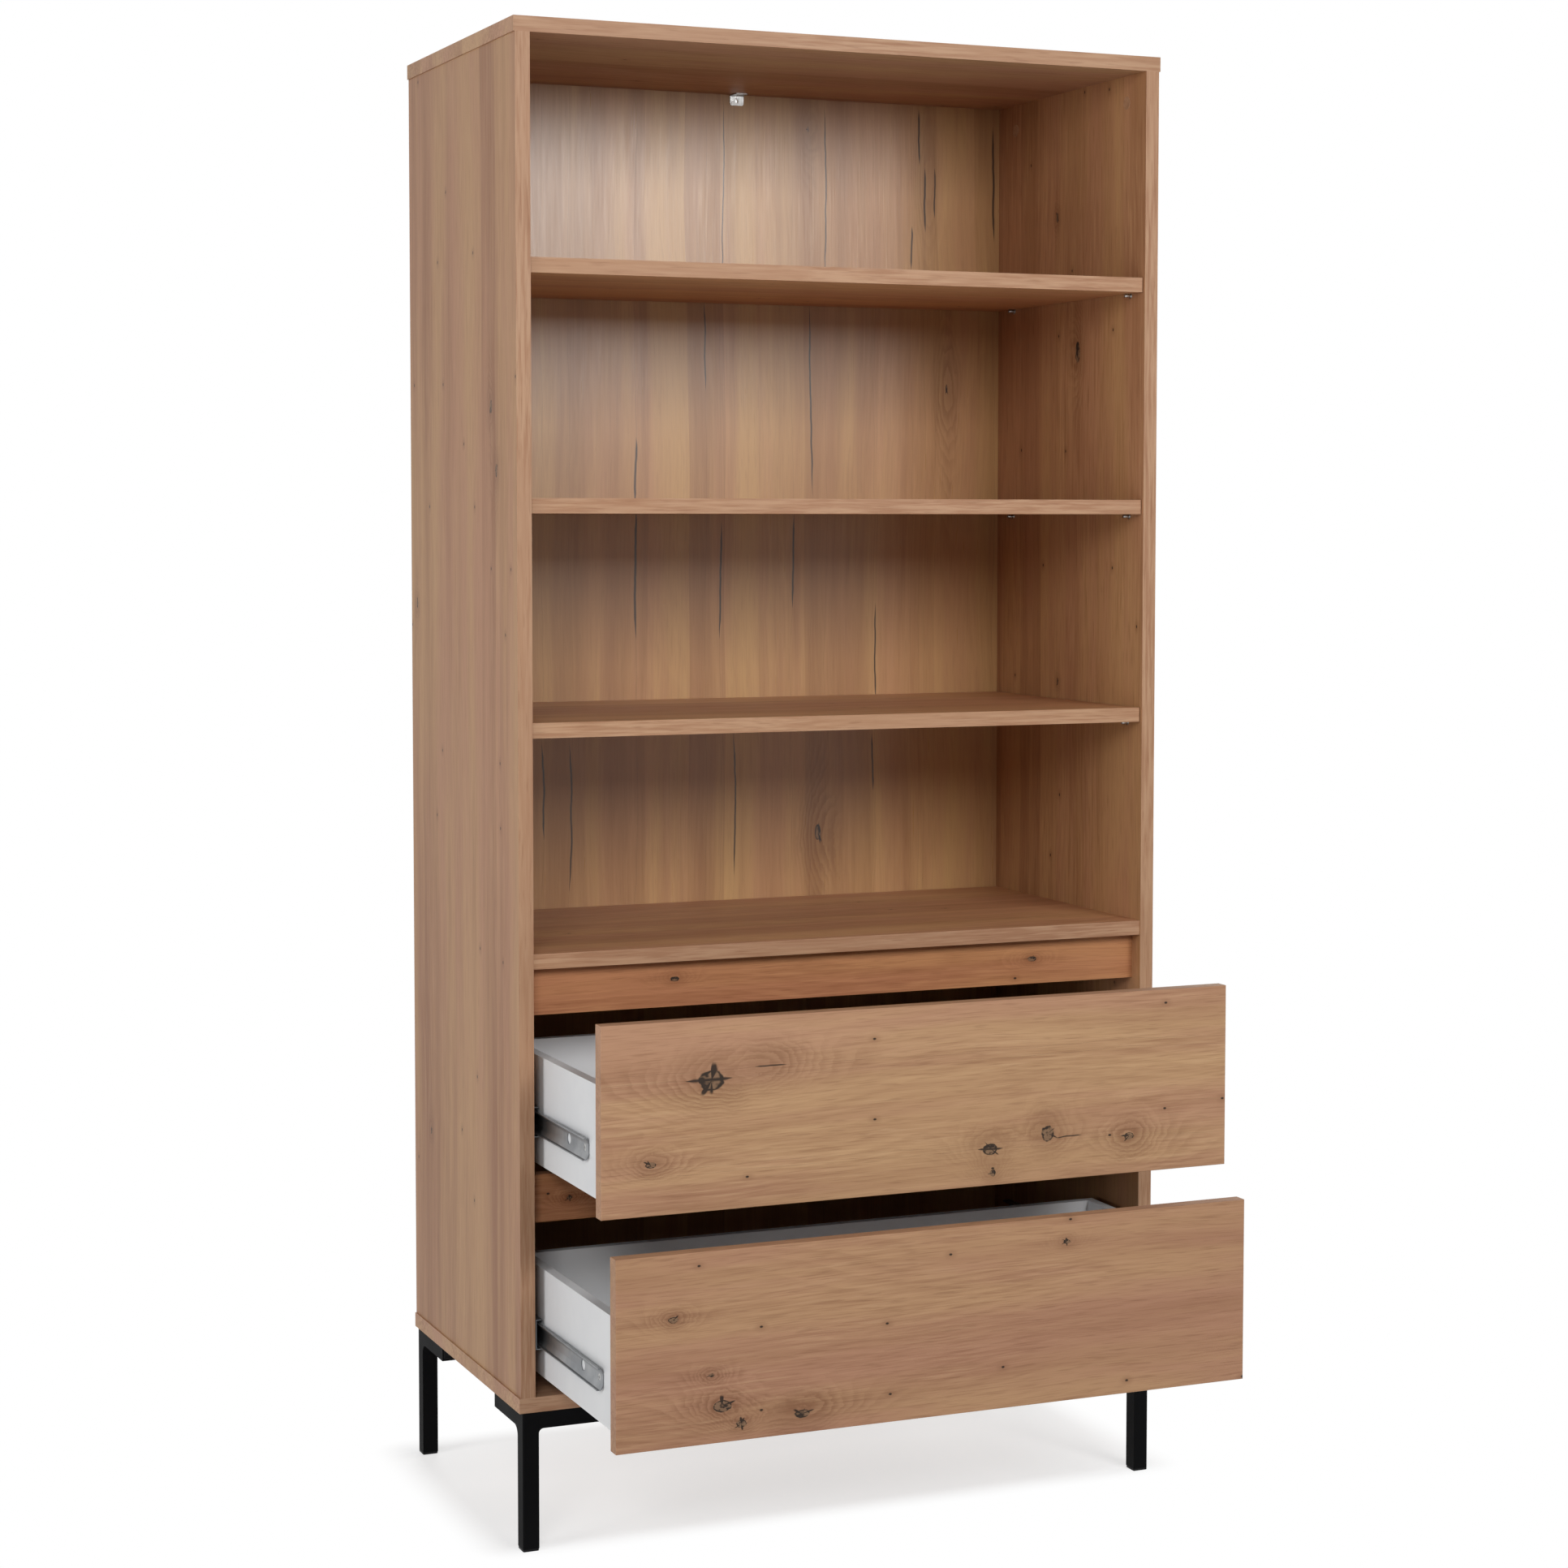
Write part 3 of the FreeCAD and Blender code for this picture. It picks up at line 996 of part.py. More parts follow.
used = set()
for thing in doc.Objects:
    if thing.TypeId in ("Part::Compound", "Part::MultiFuse", "Part::Cut"):
        used.update(child.Name for child in thing.OutList)
kinds = ("PartDesign::Body", "Part::Cut", "Part::Compound", "Part::Mirroring")
pieces = [o for o in doc.Objects if o.TypeId in kinds and o.Name not in used]
os.makedirs("parts", exist_ok=True)
for old in os.listdir("parts"):
    if old.endswith(".step"):
        os.remove(os.path.join("parts", old))
for piece in pieces:
    shape = piece.Shape
    if shape.isNull() or not shape.isValid():
        raise RuntimeError(f"{piece.Label}: no valid shape")
    shape.exportStep(f"parts/{piece.Label}.step")
print(len(pieces), "pieces written")
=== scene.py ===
# %% [markdown]
# # A bookcase with two drawers, finished in Blender
# The bookcase comes in as a frame of separate boards, legs, slides and fittings, each where it
# belongs, in metres, with the floor at height nought. The shapes of those pieces stay as they are.
# What is left to do is how everything looks: the oak-look foil on the boards, the white drawer
# boxes, the powder-coated legs and the zinc-plated slides, and some small pieces that are too fine
# for the frame. Then come the floor, the lamps and the camera.

# %% Load the frame
import json
import math

import bmesh
import bpy
from mathutils import Matrix, Vector


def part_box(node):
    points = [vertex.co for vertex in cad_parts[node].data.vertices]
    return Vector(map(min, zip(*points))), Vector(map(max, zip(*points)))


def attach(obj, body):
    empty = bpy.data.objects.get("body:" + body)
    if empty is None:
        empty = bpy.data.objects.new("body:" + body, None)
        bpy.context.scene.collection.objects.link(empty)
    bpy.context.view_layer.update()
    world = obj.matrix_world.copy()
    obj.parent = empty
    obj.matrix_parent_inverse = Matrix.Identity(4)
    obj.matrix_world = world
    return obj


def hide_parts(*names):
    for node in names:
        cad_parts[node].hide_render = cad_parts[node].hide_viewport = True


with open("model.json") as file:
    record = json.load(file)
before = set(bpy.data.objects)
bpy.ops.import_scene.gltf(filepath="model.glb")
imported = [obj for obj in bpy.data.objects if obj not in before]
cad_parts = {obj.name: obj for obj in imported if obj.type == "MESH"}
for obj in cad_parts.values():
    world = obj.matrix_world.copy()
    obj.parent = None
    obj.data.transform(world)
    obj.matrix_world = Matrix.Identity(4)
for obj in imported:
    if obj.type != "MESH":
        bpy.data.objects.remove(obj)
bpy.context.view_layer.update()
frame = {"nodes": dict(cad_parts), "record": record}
nodes = frame["nodes"]
print("pieces in the frame:", len(nodes))

scene = bpy.context.scene
scene.view_settings.view_transform = "Standard"

# %% [markdown]
# ## The camera
# A tall piece of furniture is best seen from about four metres, through a lens that is a little
# long, so that its uprights hardly lean. The camera stands at chest height and looks a little down.
# A small part of the framing is done with the lens shift, as with a view camera, and the rest by
# tilting. A larger shift would push the bookcase out of the frame in views from other sides. Yaw,
# pitch and roll are turned into a rotation one after the other.

# %% Place the camera
CAMERA_PLACE = (-1.5476, -3.5554, 1.2208)
CAMERA_YAW = 22.8342
CAMERA_PITCH = -3.4024
CAMERA_ROLL = 0.0298
LENS = 71.7772
SHIFT_UP = -0.05
SENSOR_WIDTH = 36

camera_data = bpy.data.cameras.new("camera")
camera_data.lens = LENS
camera_data.sensor_width = SENSOR_WIDTH
camera_data.shift_y = SHIFT_UP
camera = bpy.data.objects.new("camera", camera_data)
scene.collection.objects.link(camera)
turn = Matrix.Rotation(math.radians(-CAMERA_YAW), 4, "Z")
tilt = Matrix.Rotation(math.radians(90 + CAMERA_PITCH), 4, "X")
roll = Matrix.Rotation(math.radians(CAMERA_ROLL), 4, "Z")
camera.matrix_world = Matrix.Translation(CAMERA_PLACE) @ turn @ tilt @ roll
scene.camera = camera
aim = camera.matrix_world.to_3x3() @ Vector((0, 0, -1))
print("camera looks along", [round(part, 3) for part in aim])

# %% [markdown]
# ## Helpers for materials
# A material is a small network of nodes. A few helpers keep such a network readable: one adds a
# node and feeds each of its inputs from a number or from another node's output, and the others do
# sums, smooth steps, mixes and noises with it. A finish that several materials share is made once
# as a node group and placed in each of them.

# %% Add nodes and do sums with them


def add_node(tree, kind, inputs=None, **settings):
    """A new node. Each input gets a constant, or the output socket that feeds it."""
    made = tree.nodes.new("ShaderNode" + kind)
    for name, value in settings.items():
        setattr(made, name, value)
    for socket, value in (inputs or {}).items():
        if isinstance(value, bpy.types.NodeSocket):
            tree.links.new(value, made.inputs[socket])
        else:
            made.inputs[socket].default_value = value
    return made


def calc(tree, operation, *values):
    """The result of a sum of one, two or three values."""
    return add_node(tree, "Math", dict(enumerate(values)), operation=operation).outputs[0]


def add(tree, first, second):
    return calc(tree, "ADD", first, second)


def minus(tree, first, second):
    return calc(tree, "SUBTRACT", first, second)


def times(tree, first, second):
    return calc(tree, "MULTIPLY", first, second)


def larger(tree, first, second):
    return calc(tree, "MAXIMUM", first, second)


def distance(tree, first, second):
    """How far a point is from nought, given two of its coordinates."""
    return calc(tree, "SQRT", add(tree, times(tree, first, first), times(tree, second, second)))


def vector_calc(tree, operation, first, second):
    """The result of a sum of two vectors."""
    return add_node(tree, "VectorMath", {0: first, 1: second}, operation=operation).outputs[0]


def parts_of(tree, vector):
    return add_node(tree, "SeparateXYZ", {0: vector}).outputs


def joined(tree, *parts):
    return add_node(tree, "CombineXYZ", dict(enumerate(parts))).outputs[0]


# %% Steps, mixes and noises


def fade(tree, value, start, end, low=0.0, high=1.0):
    """A smooth step from low to high while the value goes from start to end."""
    inputs = {"Value": value, "From Min": start, "From Max": end, "To Min": low, "To Max": high}
    return add_node(tree, "MapRange", inputs, interpolation_type="SMOOTHSTEP").outputs["Result"]


def blend(tree, share, first, second):
    """Two colours mixed, the share being that of the second."""
    return add_node(tree, "Mix", {0: share, 6: first, 7: second}, data_type="RGBA").outputs[2]


def colour(red, green, blue):
    """A colour as a paint chart gives it, 0 to 255, turned into the light it sends back."""
    def linear(part):
        part /= 255
        return part / 12.92 if part <= 0.04045 else ((part + 0.055) / 1.055) ** 2.4
    return (linear(red), linear(green), linear(blue), 1)


def noise(tree, vector, scale, detail=2.0, roughness=0.5):
    inputs = {"Vector": vector, "Scale": scale, "Detail": detail, "Roughness": roughness}
    return add_node(tree, "TexNoise", inputs).outputs["Fac"]


# %% Groups and materials


def new_group(name, inputs, outputs):
    """An empty node group with its sockets. Returns the tree, its inputs and its output node."""
    tree = bpy.data.node_groups.new(name, "ShaderNodeTree")
    for socket, (kind, value) in inputs.items():
        made = tree.interface.new_socket(socket, in_out="INPUT", socket_type="NodeSocket" + kind)
        if value is not None:
            made.default_value = value
    for socket, kind in outputs.items():
        tree.interface.new_socket(socket, in_out="OUTPUT", socket_type="NodeSocket" + kind)
    start = tree.nodes.new("NodeGroupInput")
    end = tree.nodes.new("NodeGroupOutput")
    return tree, start.outputs, end


def use_group(tree, group, inputs):
    """The outputs of a group that is placed in a tree."""
    return add_node(tree, "Group", inputs, node_tree=group).outputs


def new_material(name):
    """A material with only a Principled shader in it."""
    material = bpy.data.materials.new(name)
    material.use_nodes = True
    tree = material.node_tree
    return material, tree, tree.nodes["Principled BSDF"]


# %% [markdown]
# ## Oak-look foil
# The boards are chipboard with a printed foil that shows knotty oak, laid up from strips. Up close
# it has soft bands that differ a little in tone and hue, growth lines that wander along the board,
# fine fibres and short dark flecks. All of them are far longer along the grain than across it, so
# each is a noise that is stretched along the grain, by its own amount.
#
# The growth lines are contour lines. A smooth height field is tilted across the grain, and a line
# is drawn each time the height passes a step. Where a knot lifts the field, the lines close into
# rings around it, as the rings of a tree do round a branch.
#
# The group works in its own space: X runs along the grain, Y across the face and Z through the
# board, in metres.

# %% Build the grain group
# how often each noise changes in a metre, along the grain, across the face and through the board
GRAIN_SCALES = {
    "sway": (1.6, 4.0, 4.0), "bands": (1.2, 26.0, 26.0), "hue": (1.4, 15.0, 15.0),
    "patch": (3.0, 14.0, 14.0), "hills": (1.6, 7.0, 9.0), "streak": (12.0, 260.0, 260.0),
    "fibre": (22.0, 760.0, 760.0), "flecks": (26.0, 380.0, 380.0), "pins": (13.0, 20.0, 0.0),
    "crack": (6.0, 1.5, 0.0), "relief": (12.0, 700.0, 700.0)}
NOISE_MEAN = 0.5
SWAY_WIDTH = 0.035  # how far the grain wanders, in metres
HILL_LINES, TILT_LINES = 16.0, 80.0  # growth lines from the hills, and per metre from the tilt
KNOT_LINES = 6.0  # rings round a knot


def stretched(tree, vector, kind, seed=0.0):
    """The grain's own space, with a different scale in each direction."""
    scaled = vector_calc(tree, "MULTIPLY", vector, GRAIN_SCALES[kind])
    return vector_calc(tree, "ADD", scaled, (seed, seed * 1.7, seed * 2.3))


def grain_noise(tree, vector, kind, detail=1.0, roughness=0.5, seed=0.0):
    return noise(tree, stretched(tree, vector, kind, seed), 1.0, detail, roughness)


def build_grain_group():
    tree, given, end = new_group(
        "oak grain",
        {"Grain": ("Vector", None), "Lift": ("Float", 0.0), "Seed": ("Float", 0.0),
         "Strip width": ("Float", 0.06)},
        {"Rings": "Float", "Streak": "Float", "Fibre": "Float", "Flecks": "Float",
         "Band": "Float", "Hue": "Float", "Strip": "Float"})
    seed = given["Seed"]
    shift = joined(tree, times(tree, seed, 3.1), seed, times(tree, seed, 1.3))
    seeded = vector_calc(tree, "ADD", given["Grain"], shift)
    # the grain wanders a little across the board
    sway = minus(tree, grain_noise(tree, seeded, "sway", 2.0), NOISE_MEAN)
    swayed = vector_calc(tree, "ADD", seeded, joined(tree, 0, times(tree, sway, SWAY_WIDTH)))
    across = parts_of(tree, swayed)[1]
    # strips, each cut from another plank
    place = calc(tree, "DIVIDE", across, given["Strip width"])
    cells = add_node(tree, "TexVoronoi", {"W": place, "Scale": 1.0, "Randomness": 0.8},
                     voronoi_dimensions="1D", feature="F1")
    strip = add_node(tree, "SeparateColor", {0: cells.outputs["Color"]}).outputs[0]
    # the lines and streaks show clearly in some places and hardly in others
    patch = fade(tree, grain_noise(tree, seeded, "patch", 2.0, seed=5.0), 0.35, 0.65, 0.35, 1.25)
    hills = times(tree, grain_noise(tree, seeded, "hills", seed=3.0), HILL_LINES)
    height = add(tree, add(tree, hills, times(tree, across, TILT_LINES)), given["Lift"])
    saw = calc(tree, "FRACT", height)
    rings = times(tree, fade(tree, saw, 0.10, 0.85), fade(tree, saw, 1.0, 0.88))
    streak = minus(tree, grain_noise(tree, swayed, "streak", 3.0, 0.6), NOISE_MEAN)
    figure = {
        "Rings": times(tree, rings, patch),
        "Streak": calc(tree, "MULTIPLY_ADD", streak, patch, NOISE_MEAN),
        "Fibre": grain_noise(tree, swayed, "fibre"),
        "Flecks": fade(tree, grain_noise(tree, swayed, "flecks", seed=11.0), 0.58, 0.74),
        "Band": grain_noise(tree, swayed, "bands", 4.0, 0.6),
        "Hue": grain_noise(tree, swayed, "hue", 3.0, 0.6, seed=7.0),
        "Strip": strip}
    for socket, value in figure.items():
        tree.links.new(value, end.inputs[socket])
    return tree


grain_group = build_grain_group()
print("grain group nodes:", len(grain_group.nodes))

# %% [markdown]
# ## Knots and cracks
# A knot is where a branch left the trunk. It has a broken, dark edge round a greyish heart, cracks
# that run out of it like a star, a brown halo, and rings that the grain flows around. A small group
# draws one knot at one place, and a board that needs three knots uses the group three times, each
# feeding its lift of the height field to the next. A crack is a thin dark line along the grain that
# wanders a little and tapers out at both ends. Its wandering is a noise that all cracks share.

# %% Build the knot group
EULER = 2.718
MARKS = ("Lift", "Core", "Fill", "Halo")  # what one knot passes on to the next


def build_knot_group():
    tree, given, end = new_group(
        "oak knot",
        {"Grain": ("Vector", None), "Place": ("Vector", None), "Length": ("Float", 0.03),
         "Width": ("Float", 0.014), "Heart": ("Float", 0.5), "Seed": ("Float", 0.0),
         **dict.fromkeys(MARKS, ("Float", 0.0))},
        dict.fromkeys(MARKS, "Float"))
    away = parts_of(tree, vector_calc(tree, "SUBTRACT", given["Grain"], given["Place"]))
    along = calc(tree, "DIVIDE", away[0], given["Length"])
    across = calc(tree, "DIVIDE", away[1], given["Width"])
    shape = joined(tree, along, across, given["Seed"])
    warp = minus(tree, noise(tree, shape, 1.4, 3.0, 0.6), NOISE_MEAN)
    reach = distance(tree, along, across)
    wide = add(tree, reach, times(tree, warp, 0.8))
    lift = calc(tree, "POWER", EULER, times(tree, times(tree, wide, wide), -0.30))
    heart = larger(tree, given["Heart"], 0.001)
    near = calc(tree, "DIVIDE", add(tree, reach, times(tree, warp, heart)), heart)
    # a greyish heart with a broken rim and dark blots
    fill = fade(tree, near, 1.0, 0.85)
    rim = fade(tree, near, 0.60, 0.95, 0.0, 0.14)
    blots = add(tree, noise(tree, shape, 2.1, 2.0, 0.7), rim)
    blot = times(tree, fill, fade(tree, blots, 0.47, 0.60))
    # a few rays that run out of it and grow thinner
    turn = calc(tree, "ARCTAN2", across, along)
    rays = noise(tree, joined(tree, turn, given["Seed"]), 1.5, 1.0)
    thin = times(tree, larger(tree, minus(tree, near, 1.0), 0.0), 0.10)
    ray = times(tree, fade(tree, minus(tree, rays, thin), 0.59, 0.64), fade(tree, near, 2.0, 1.5))
    core = times(tree, larger(tree, blot, ray), fade(tree, heart, 0.0, 0.02))
    # a darker trail that runs on along the grain
    trail = add(tree, distance(tree, times(tree, along, 0.22), across), times(tree, warp, 0.7))
    trail = fade(tree, trail, 1.3, 0.1, 0.0, 0.55)
    halo = larger(tree, fade(tree, wide, 2.1, 0.4), trail)
    lines = add(tree, given["Lift"], times(tree, lift, KNOT_LINES))
    tree.links.new(lines, end.inputs["Lift"])
    for socket, value in (("Core", core), ("Fill", fill), ("Halo", halo)):
        tree.links.new(larger(tree, given[socket], value), end.inputs[socket])
    return tree


knot_group = build_knot_group()
print("knot group nodes:", len(knot_group.nodes))

# %% Build the crack group
CRACK_TAPER = 0.35  # a crack has its full width up to this share of its half length from its end
THINNEST_CRACK = 0.00002


def build_crack_group():
    tree, given, end = new_group(
        "oak crack",
        {"Along": ("Float", 0.0), "Across": ("Float", 0.0), "Middle": ("Float", 0.0),
         "Half length": ("Float", 0.1), "Place": ("Float", 0.0), "Width": ("Float", 0.0016),
         "Crack": ("Float", 0.0)},
        {"Crack": "Float"})
    off = calc(tree, "ABSOLUTE", minus(tree, given["Across"], given["Place"]))
    share = calc(tree, "ABSOLUTE", minus(tree, given["Along"], given["Middle"]))
    to_end = minus(tree, 1.0, calc(tree, "DIVIDE", share, given["Half length"]))
    wide = times(tree, given["Width"], calc(tree, "MINIMUM", to_end, CRACK_TAPER))
    wide = larger(tree, wide, THINNEST_CRACK)
    out = calc(tree, "DIVIDE", times(tree, off, CRACK_TAPER), wide)
    inside = larger(tree, minus(tree, 1.0 + CRACK_TAPER, out), 0.0)
    inside = calc(tree, "MINIMUM", inside, 1.0)
    tree.links.new(larger(tree, given["Crack"], inside), end.inputs["Crack"])
    return tree


crack_group = build_crack_group()
print("crack group nodes:", len(crack_group.nodes))

# %% [markdown]
# ## One oak material per board
# The foil runs along each board, so a material has to know which way its board's grain goes. The
# object's own coordinates are in metres and don't move with the board, so a Mapping node only has
# to turn them until X lies along the grain. Scattered pin knots come from a cell pattern that keeps
# a dark dot in a few of its cells. The tones are mixed last: bands, rings, fibres and flecks on a
# warm base, then the halos, knots and cracks. The front edge of a board wears a paler edging.

# %% Oak tones and grain directions
OAK_PINK = colour(181, 138, 110)
OAK_STRAW = colour(188, 150, 113)
OAK_PALE = colour(204, 168, 131)
OAK_BROWN = colour(152, 110, 82)
OAK_LINE = colour(130, 88, 62)
OAK_HALO = colour(122, 84, 60)
OAK_HEART = colour(116, 93, 72)
OAK_KNOT = colour(34, 26, 21)
EDGE_PALE = colour(182, 145, 116)
EDGE_PINK = colour(163, 122, 94)

TURN_TO_GRAIN = {
    # grain direction and the direction across the face, as the matrix that makes them X and Y
    ("X", "Z"): Matrix(((1, 0, 0), (0, 0, 1), (0, -1, 0))),
    ("X", "Y"): Matrix(((1, 0, 0), (0, 1, 0), (0, 0, 1))),
    ("Z", "X"): Matrix(((0, 0, 1), (1, 0, 0), (0, 1, 0))),
    ("Z", "Y"): Matrix(((0, 0, 1), (0, 1, 0), (-1, 0, 0))),
}

# %% Pin knots, big knots and cracks on a board
CRACK_SWAY = 0.018  # how far a crack wanders, in metres
KNOT_STEP = 3.7  # from one knot's seed to the next


def pin_knots(tree, grain, seed, share):
    """Small dark dots in a few of the cells of a pattern, and a halo round each."""
    cells = add_node(tree, "TexVoronoi", {"Vector": stretched(tree, grain, "pins", seed),
                                          "Scale": 1.0, "Randomness": 1.0},
                     voronoi_dimensions="2D").outputs
    dice = add_node(tree, "SeparateColor", {0: cells["Color"]}).outputs[0]
    chosen = calc(tree, "LESS_THAN", dice, share)
    dot = times(tree, fade(tree, cells["Distance"], 0.036, 0.016), chosen)
    ring = times(tree, fade(tree, cells["Distance"], 0.16, 0.02), chosen)
    return dot, ring


def oak_marks(tree, grain, seed, knots, cracks):
    """The chosen knots and cracks of a board: the lift of its rings, and masks."""
    marks = dict.fromkeys(MARKS, 0.0)
    for number, (where, beside, length, width, heart) in enumerate(knots):
        marks = use_group(tree, knot_group, {
            "Grain": grain, "Place": (where, beside, 0), "Length": length, "Width": width,
            "Heart": heart, "Seed": seed + number * KNOT_STEP,
            **{socket: marks[socket] for socket in MARKS}})
    crack = 0.0
    if cracks:
        part = parts_of(tree, grain)
        sway = minus(tree, grain_noise(tree, grain, "crack", 4.0, seed=seed), NOISE_MEAN)
        across = add(tree, part[1], times(tree, sway, CRACK_SWAY))
        for start, stop, beside, width in cracks:
            crack = use_group(tree, crack_group, {
                "Along": part[0], "Across": across, "Middle": (start + stop) / 2,
                "Half length": (stop - start) / 2, "Place": beside, "Width": width,
                "Crack": crack})["Crack"]
    return marks, crack


# %% The recipe
# how much the marks and the edging cover, and how deep the grain is
PIN_HALO, KNOT_HALO, KNOT_RINGS = 0.30, 0.34, 0.46
HEART_SHARE, CORE_SHARE, EDGING_SHARE = 0.75, 0.94, 0.85
GRAIN_RELIEF = {"Strength": 0.16, "Distance": 0.0004}


def toned(base, tint):
    """A tone with its red, green and blue made stronger or weaker."""
    return tuple(part * share for part, share in zip(base[:3], tint)) + (1,)


def oak_material(name, along, across, seed, knots=(), cracks=(), strip=0.06, strips=0.25,
                 bands=1.0, rings=0.16, streaks=0.30, fibres=0.24, pins=0.10, gloss=0.42,
                 mirror=0.2, tint=(1, 1, 1), edge=None):
    """Foil with its grain along one axis. knots are (along, across, length, width, heart), and
    cracks are (start, end, across, width), all in metres in the object's frame. In front of edge,
    a place along Y, the board wears its edging."""
    material, tree, shader = new_material(name)
    shader.inputs["Specular IOR Level"].default_value = mirror
    pink, straw, pale, brown, line, dark = (
        toned(base, tint)
        for base in (OAK_PINK, OAK_STRAW, OAK_PALE, OAK_BROWN, OAK_LINE, OAK_HALO))
    place = add_node(tree, "TexCoord").outputs["Object"]
    turn = TURN_TO_GRAIN[along, across].to_euler()
    grain = add_node(tree, "Mapping", {"Vector": place, "Rotation": turn}).outputs[0]
    marks, crack = oak_marks(tree, grain, seed, knots, cracks)
    figure = use_group(tree, grain_group, {"Grain": grain, "Lift": marks["Lift"], "Seed": seed,
                                           "Strip width": strip})
    dot, halo = pin_knots(tree, grain, seed, pins)
    halo, lines = times(tree, halo, PIN_HALO), rings
    if knots:
        halo = larger(tree, halo, times(tree, marks["Halo"], KNOT_HALO))
        lines = add(tree, times(tree, marks["Halo"], KNOT_RINGS), rings)
    tone = add(tree, times(tree, figure["Band"], 1.0 - strips),
               times(tree, figure["Strip"], strips))
    wood = blend(tree, fade(tree, figure["Hue"], 0.36, 0.64), pink, straw)
    for share, second in (
            (fade(tree, tone, 0.38, 0.70, 0.0, 0.62 * bands), brown),
            (times(tree, figure["Rings"], lines), line),
            (fade(tree, figure["Streak"], 0.47, 0.75, 0.0, streaks), line),
            (fade(tree, figure["Streak"], 0.50, 0.26, 0.0, streaks), pale),
            (fade(tree, figure["Fibre"], 0.50, 0.72, 0.0, fibres), line),
            (times(tree, figure["Flecks"], fibres), dark),
            (halo, dark)):
        wood = blend(tree, share, wood, second)
    if knots:
        wood = blend(tree, times(tree, marks["Fill"], HEART_SHARE), wood, OAK_HEART)
    core = larger(tree, marks["Core"], larger(tree, dot, crack))
    wood = blend(tree, times(tree, core, CORE_SHARE), wood, OAK_KNOT)
    if edge is not None:
        front = calc(tree, "LESS_THAN", parts_of(tree, place)[1], edge)
        edging = blend(tree, fade(tree, figure["Streak"], 0.35, 0.65), EDGE_PALE, EDGE_PINK)
        edging = blend(tree, times(tree, figure["Flecks"], 0.3), edging, OAK_LINE)
        wood = blend(tree, times(tree, front, EDGING_SHARE), wood, edging)
    tree.links.new(wood, shader.inputs["Base Color"])
    rough = add(tree, gloss, times(tree, figure["Streak"], 0.12))
    tree.links.new(rough, shader.inputs["Roughness"])
    relief = grain_noise(tree, grain, "relief", seed=seed)
    bump = add_node(tree, "Bump", {"Height": relief, **GRAIN_RELIEF})
    tree.links.new(bump.outputs[0], shader.inputs["Normal"])
    return material


# %% [markdown]
# ## Dress the oak boards
# Each board gets its own seed, so that no two boards repeat, and the fronts, the sides, the back
# and the rails get their big knots and cracks at chosen places. A vertical board has its grain
# upright, a shelf has it from side to side.

# %% The drawer fronts


def dress(name, material):
    slots = nodes[name].data.materials
    slots.clear()
    slots.append(material)


FRONT_LOOK = {"strips": 0.0, "bands": 0.7, "rings": 0.12, "pins": 0.20}
dress("upper_drawer_front", oak_material(
    "oak_upper_front", "X", "Z", 1.0, **FRONT_LOOK, tint=(0.98, 0.99, 0.97),
    cracks=((-0.216, -0.176, 0.601, 0.0009), (0.168, 0.205, 0.493, 0.0008),
            (-0.300, -0.242, 0.5915, 0.0022), (0.066, 0.100, 0.4855, 0.0014)),
    knots=((-0.268, 0.590, 0.040, 0.026, 0.42), (-0.196, 0.604, 0.034, 0.020, 0.0),
           (-0.341, 0.499, 0.022, 0.012, 0.30), (0.083, 0.485, 0.026, 0.018, 0.40),
           (0.086, 0.456, 0.012, 0.012, 0.35), (0.1585, 0.4975, 0.022, 0.024, 0.40),
           (0.268, 0.486, 0.024, 0.018, 0.26))))
dress("lower_drawer_front", oak_material(
    "oak_lower_front", "X", "Z", 2.0, **FRONT_LOOK, tint=(0.88, 0.85, 0.85),
    knots=((-0.332, 0.334, 0.014, 0.008, 0.45), (-0.287, 0.267, 0.012, 0.007, 0.30),
           (-0.274, 0.231, 0.022, 0.013, 0.50), (-0.251, 0.208, 0.014, 0.009, 0.50),
           (-0.177, 0.211, 0.036, 0.018, 0.28), (0.160, 0.378, 0.012, 0.007, 0.40))))

# %% The sides and the back
EDGING_DEPTH = 0.0005
SIDE_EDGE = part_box("left_side_panel")[0][1] + EDGING_DEPTH
dress("left_side_panel", oak_material(
    "oak_left_side", "Z", "Y", 3.0, bands=1.6, rings=0.05, streaks=0.16, fibres=0.16, pins=0.12,
    edge=SIDE_EDGE, tint=(0.89, 0.85, 0.80),
    knots=((1.355, 0.011, 0.026, 0.012, 0.30), (1.279, -0.008, 0.022, 0.009, 0.38),
           (1.112, 0.328, 0.016, 0.008, 0.30), (0.439, 0.279, 0.016, 0.008, 0.30))))
# The right side's tint, redder and darker than the left side's, is painted shade: it stands for the
# deep, reddish shade on its inner face inside the bookcase, and it covers the whole board.
dress("right_side_panel", oak_material(
    "oak_right_side", "Z", "Y", 4.0, rings=0.08, pins=0.12, edge=SIDE_EDGE,
    tint=(0.96, 0.88, 0.74),
    knots=((1.440, 0.091, 0.030, 0.015, 0.50), (1.620, 0.150, 0.016, 0.007, 0.45),
           (1.005, 0.142, 0.012, 0.006, 0.40))))
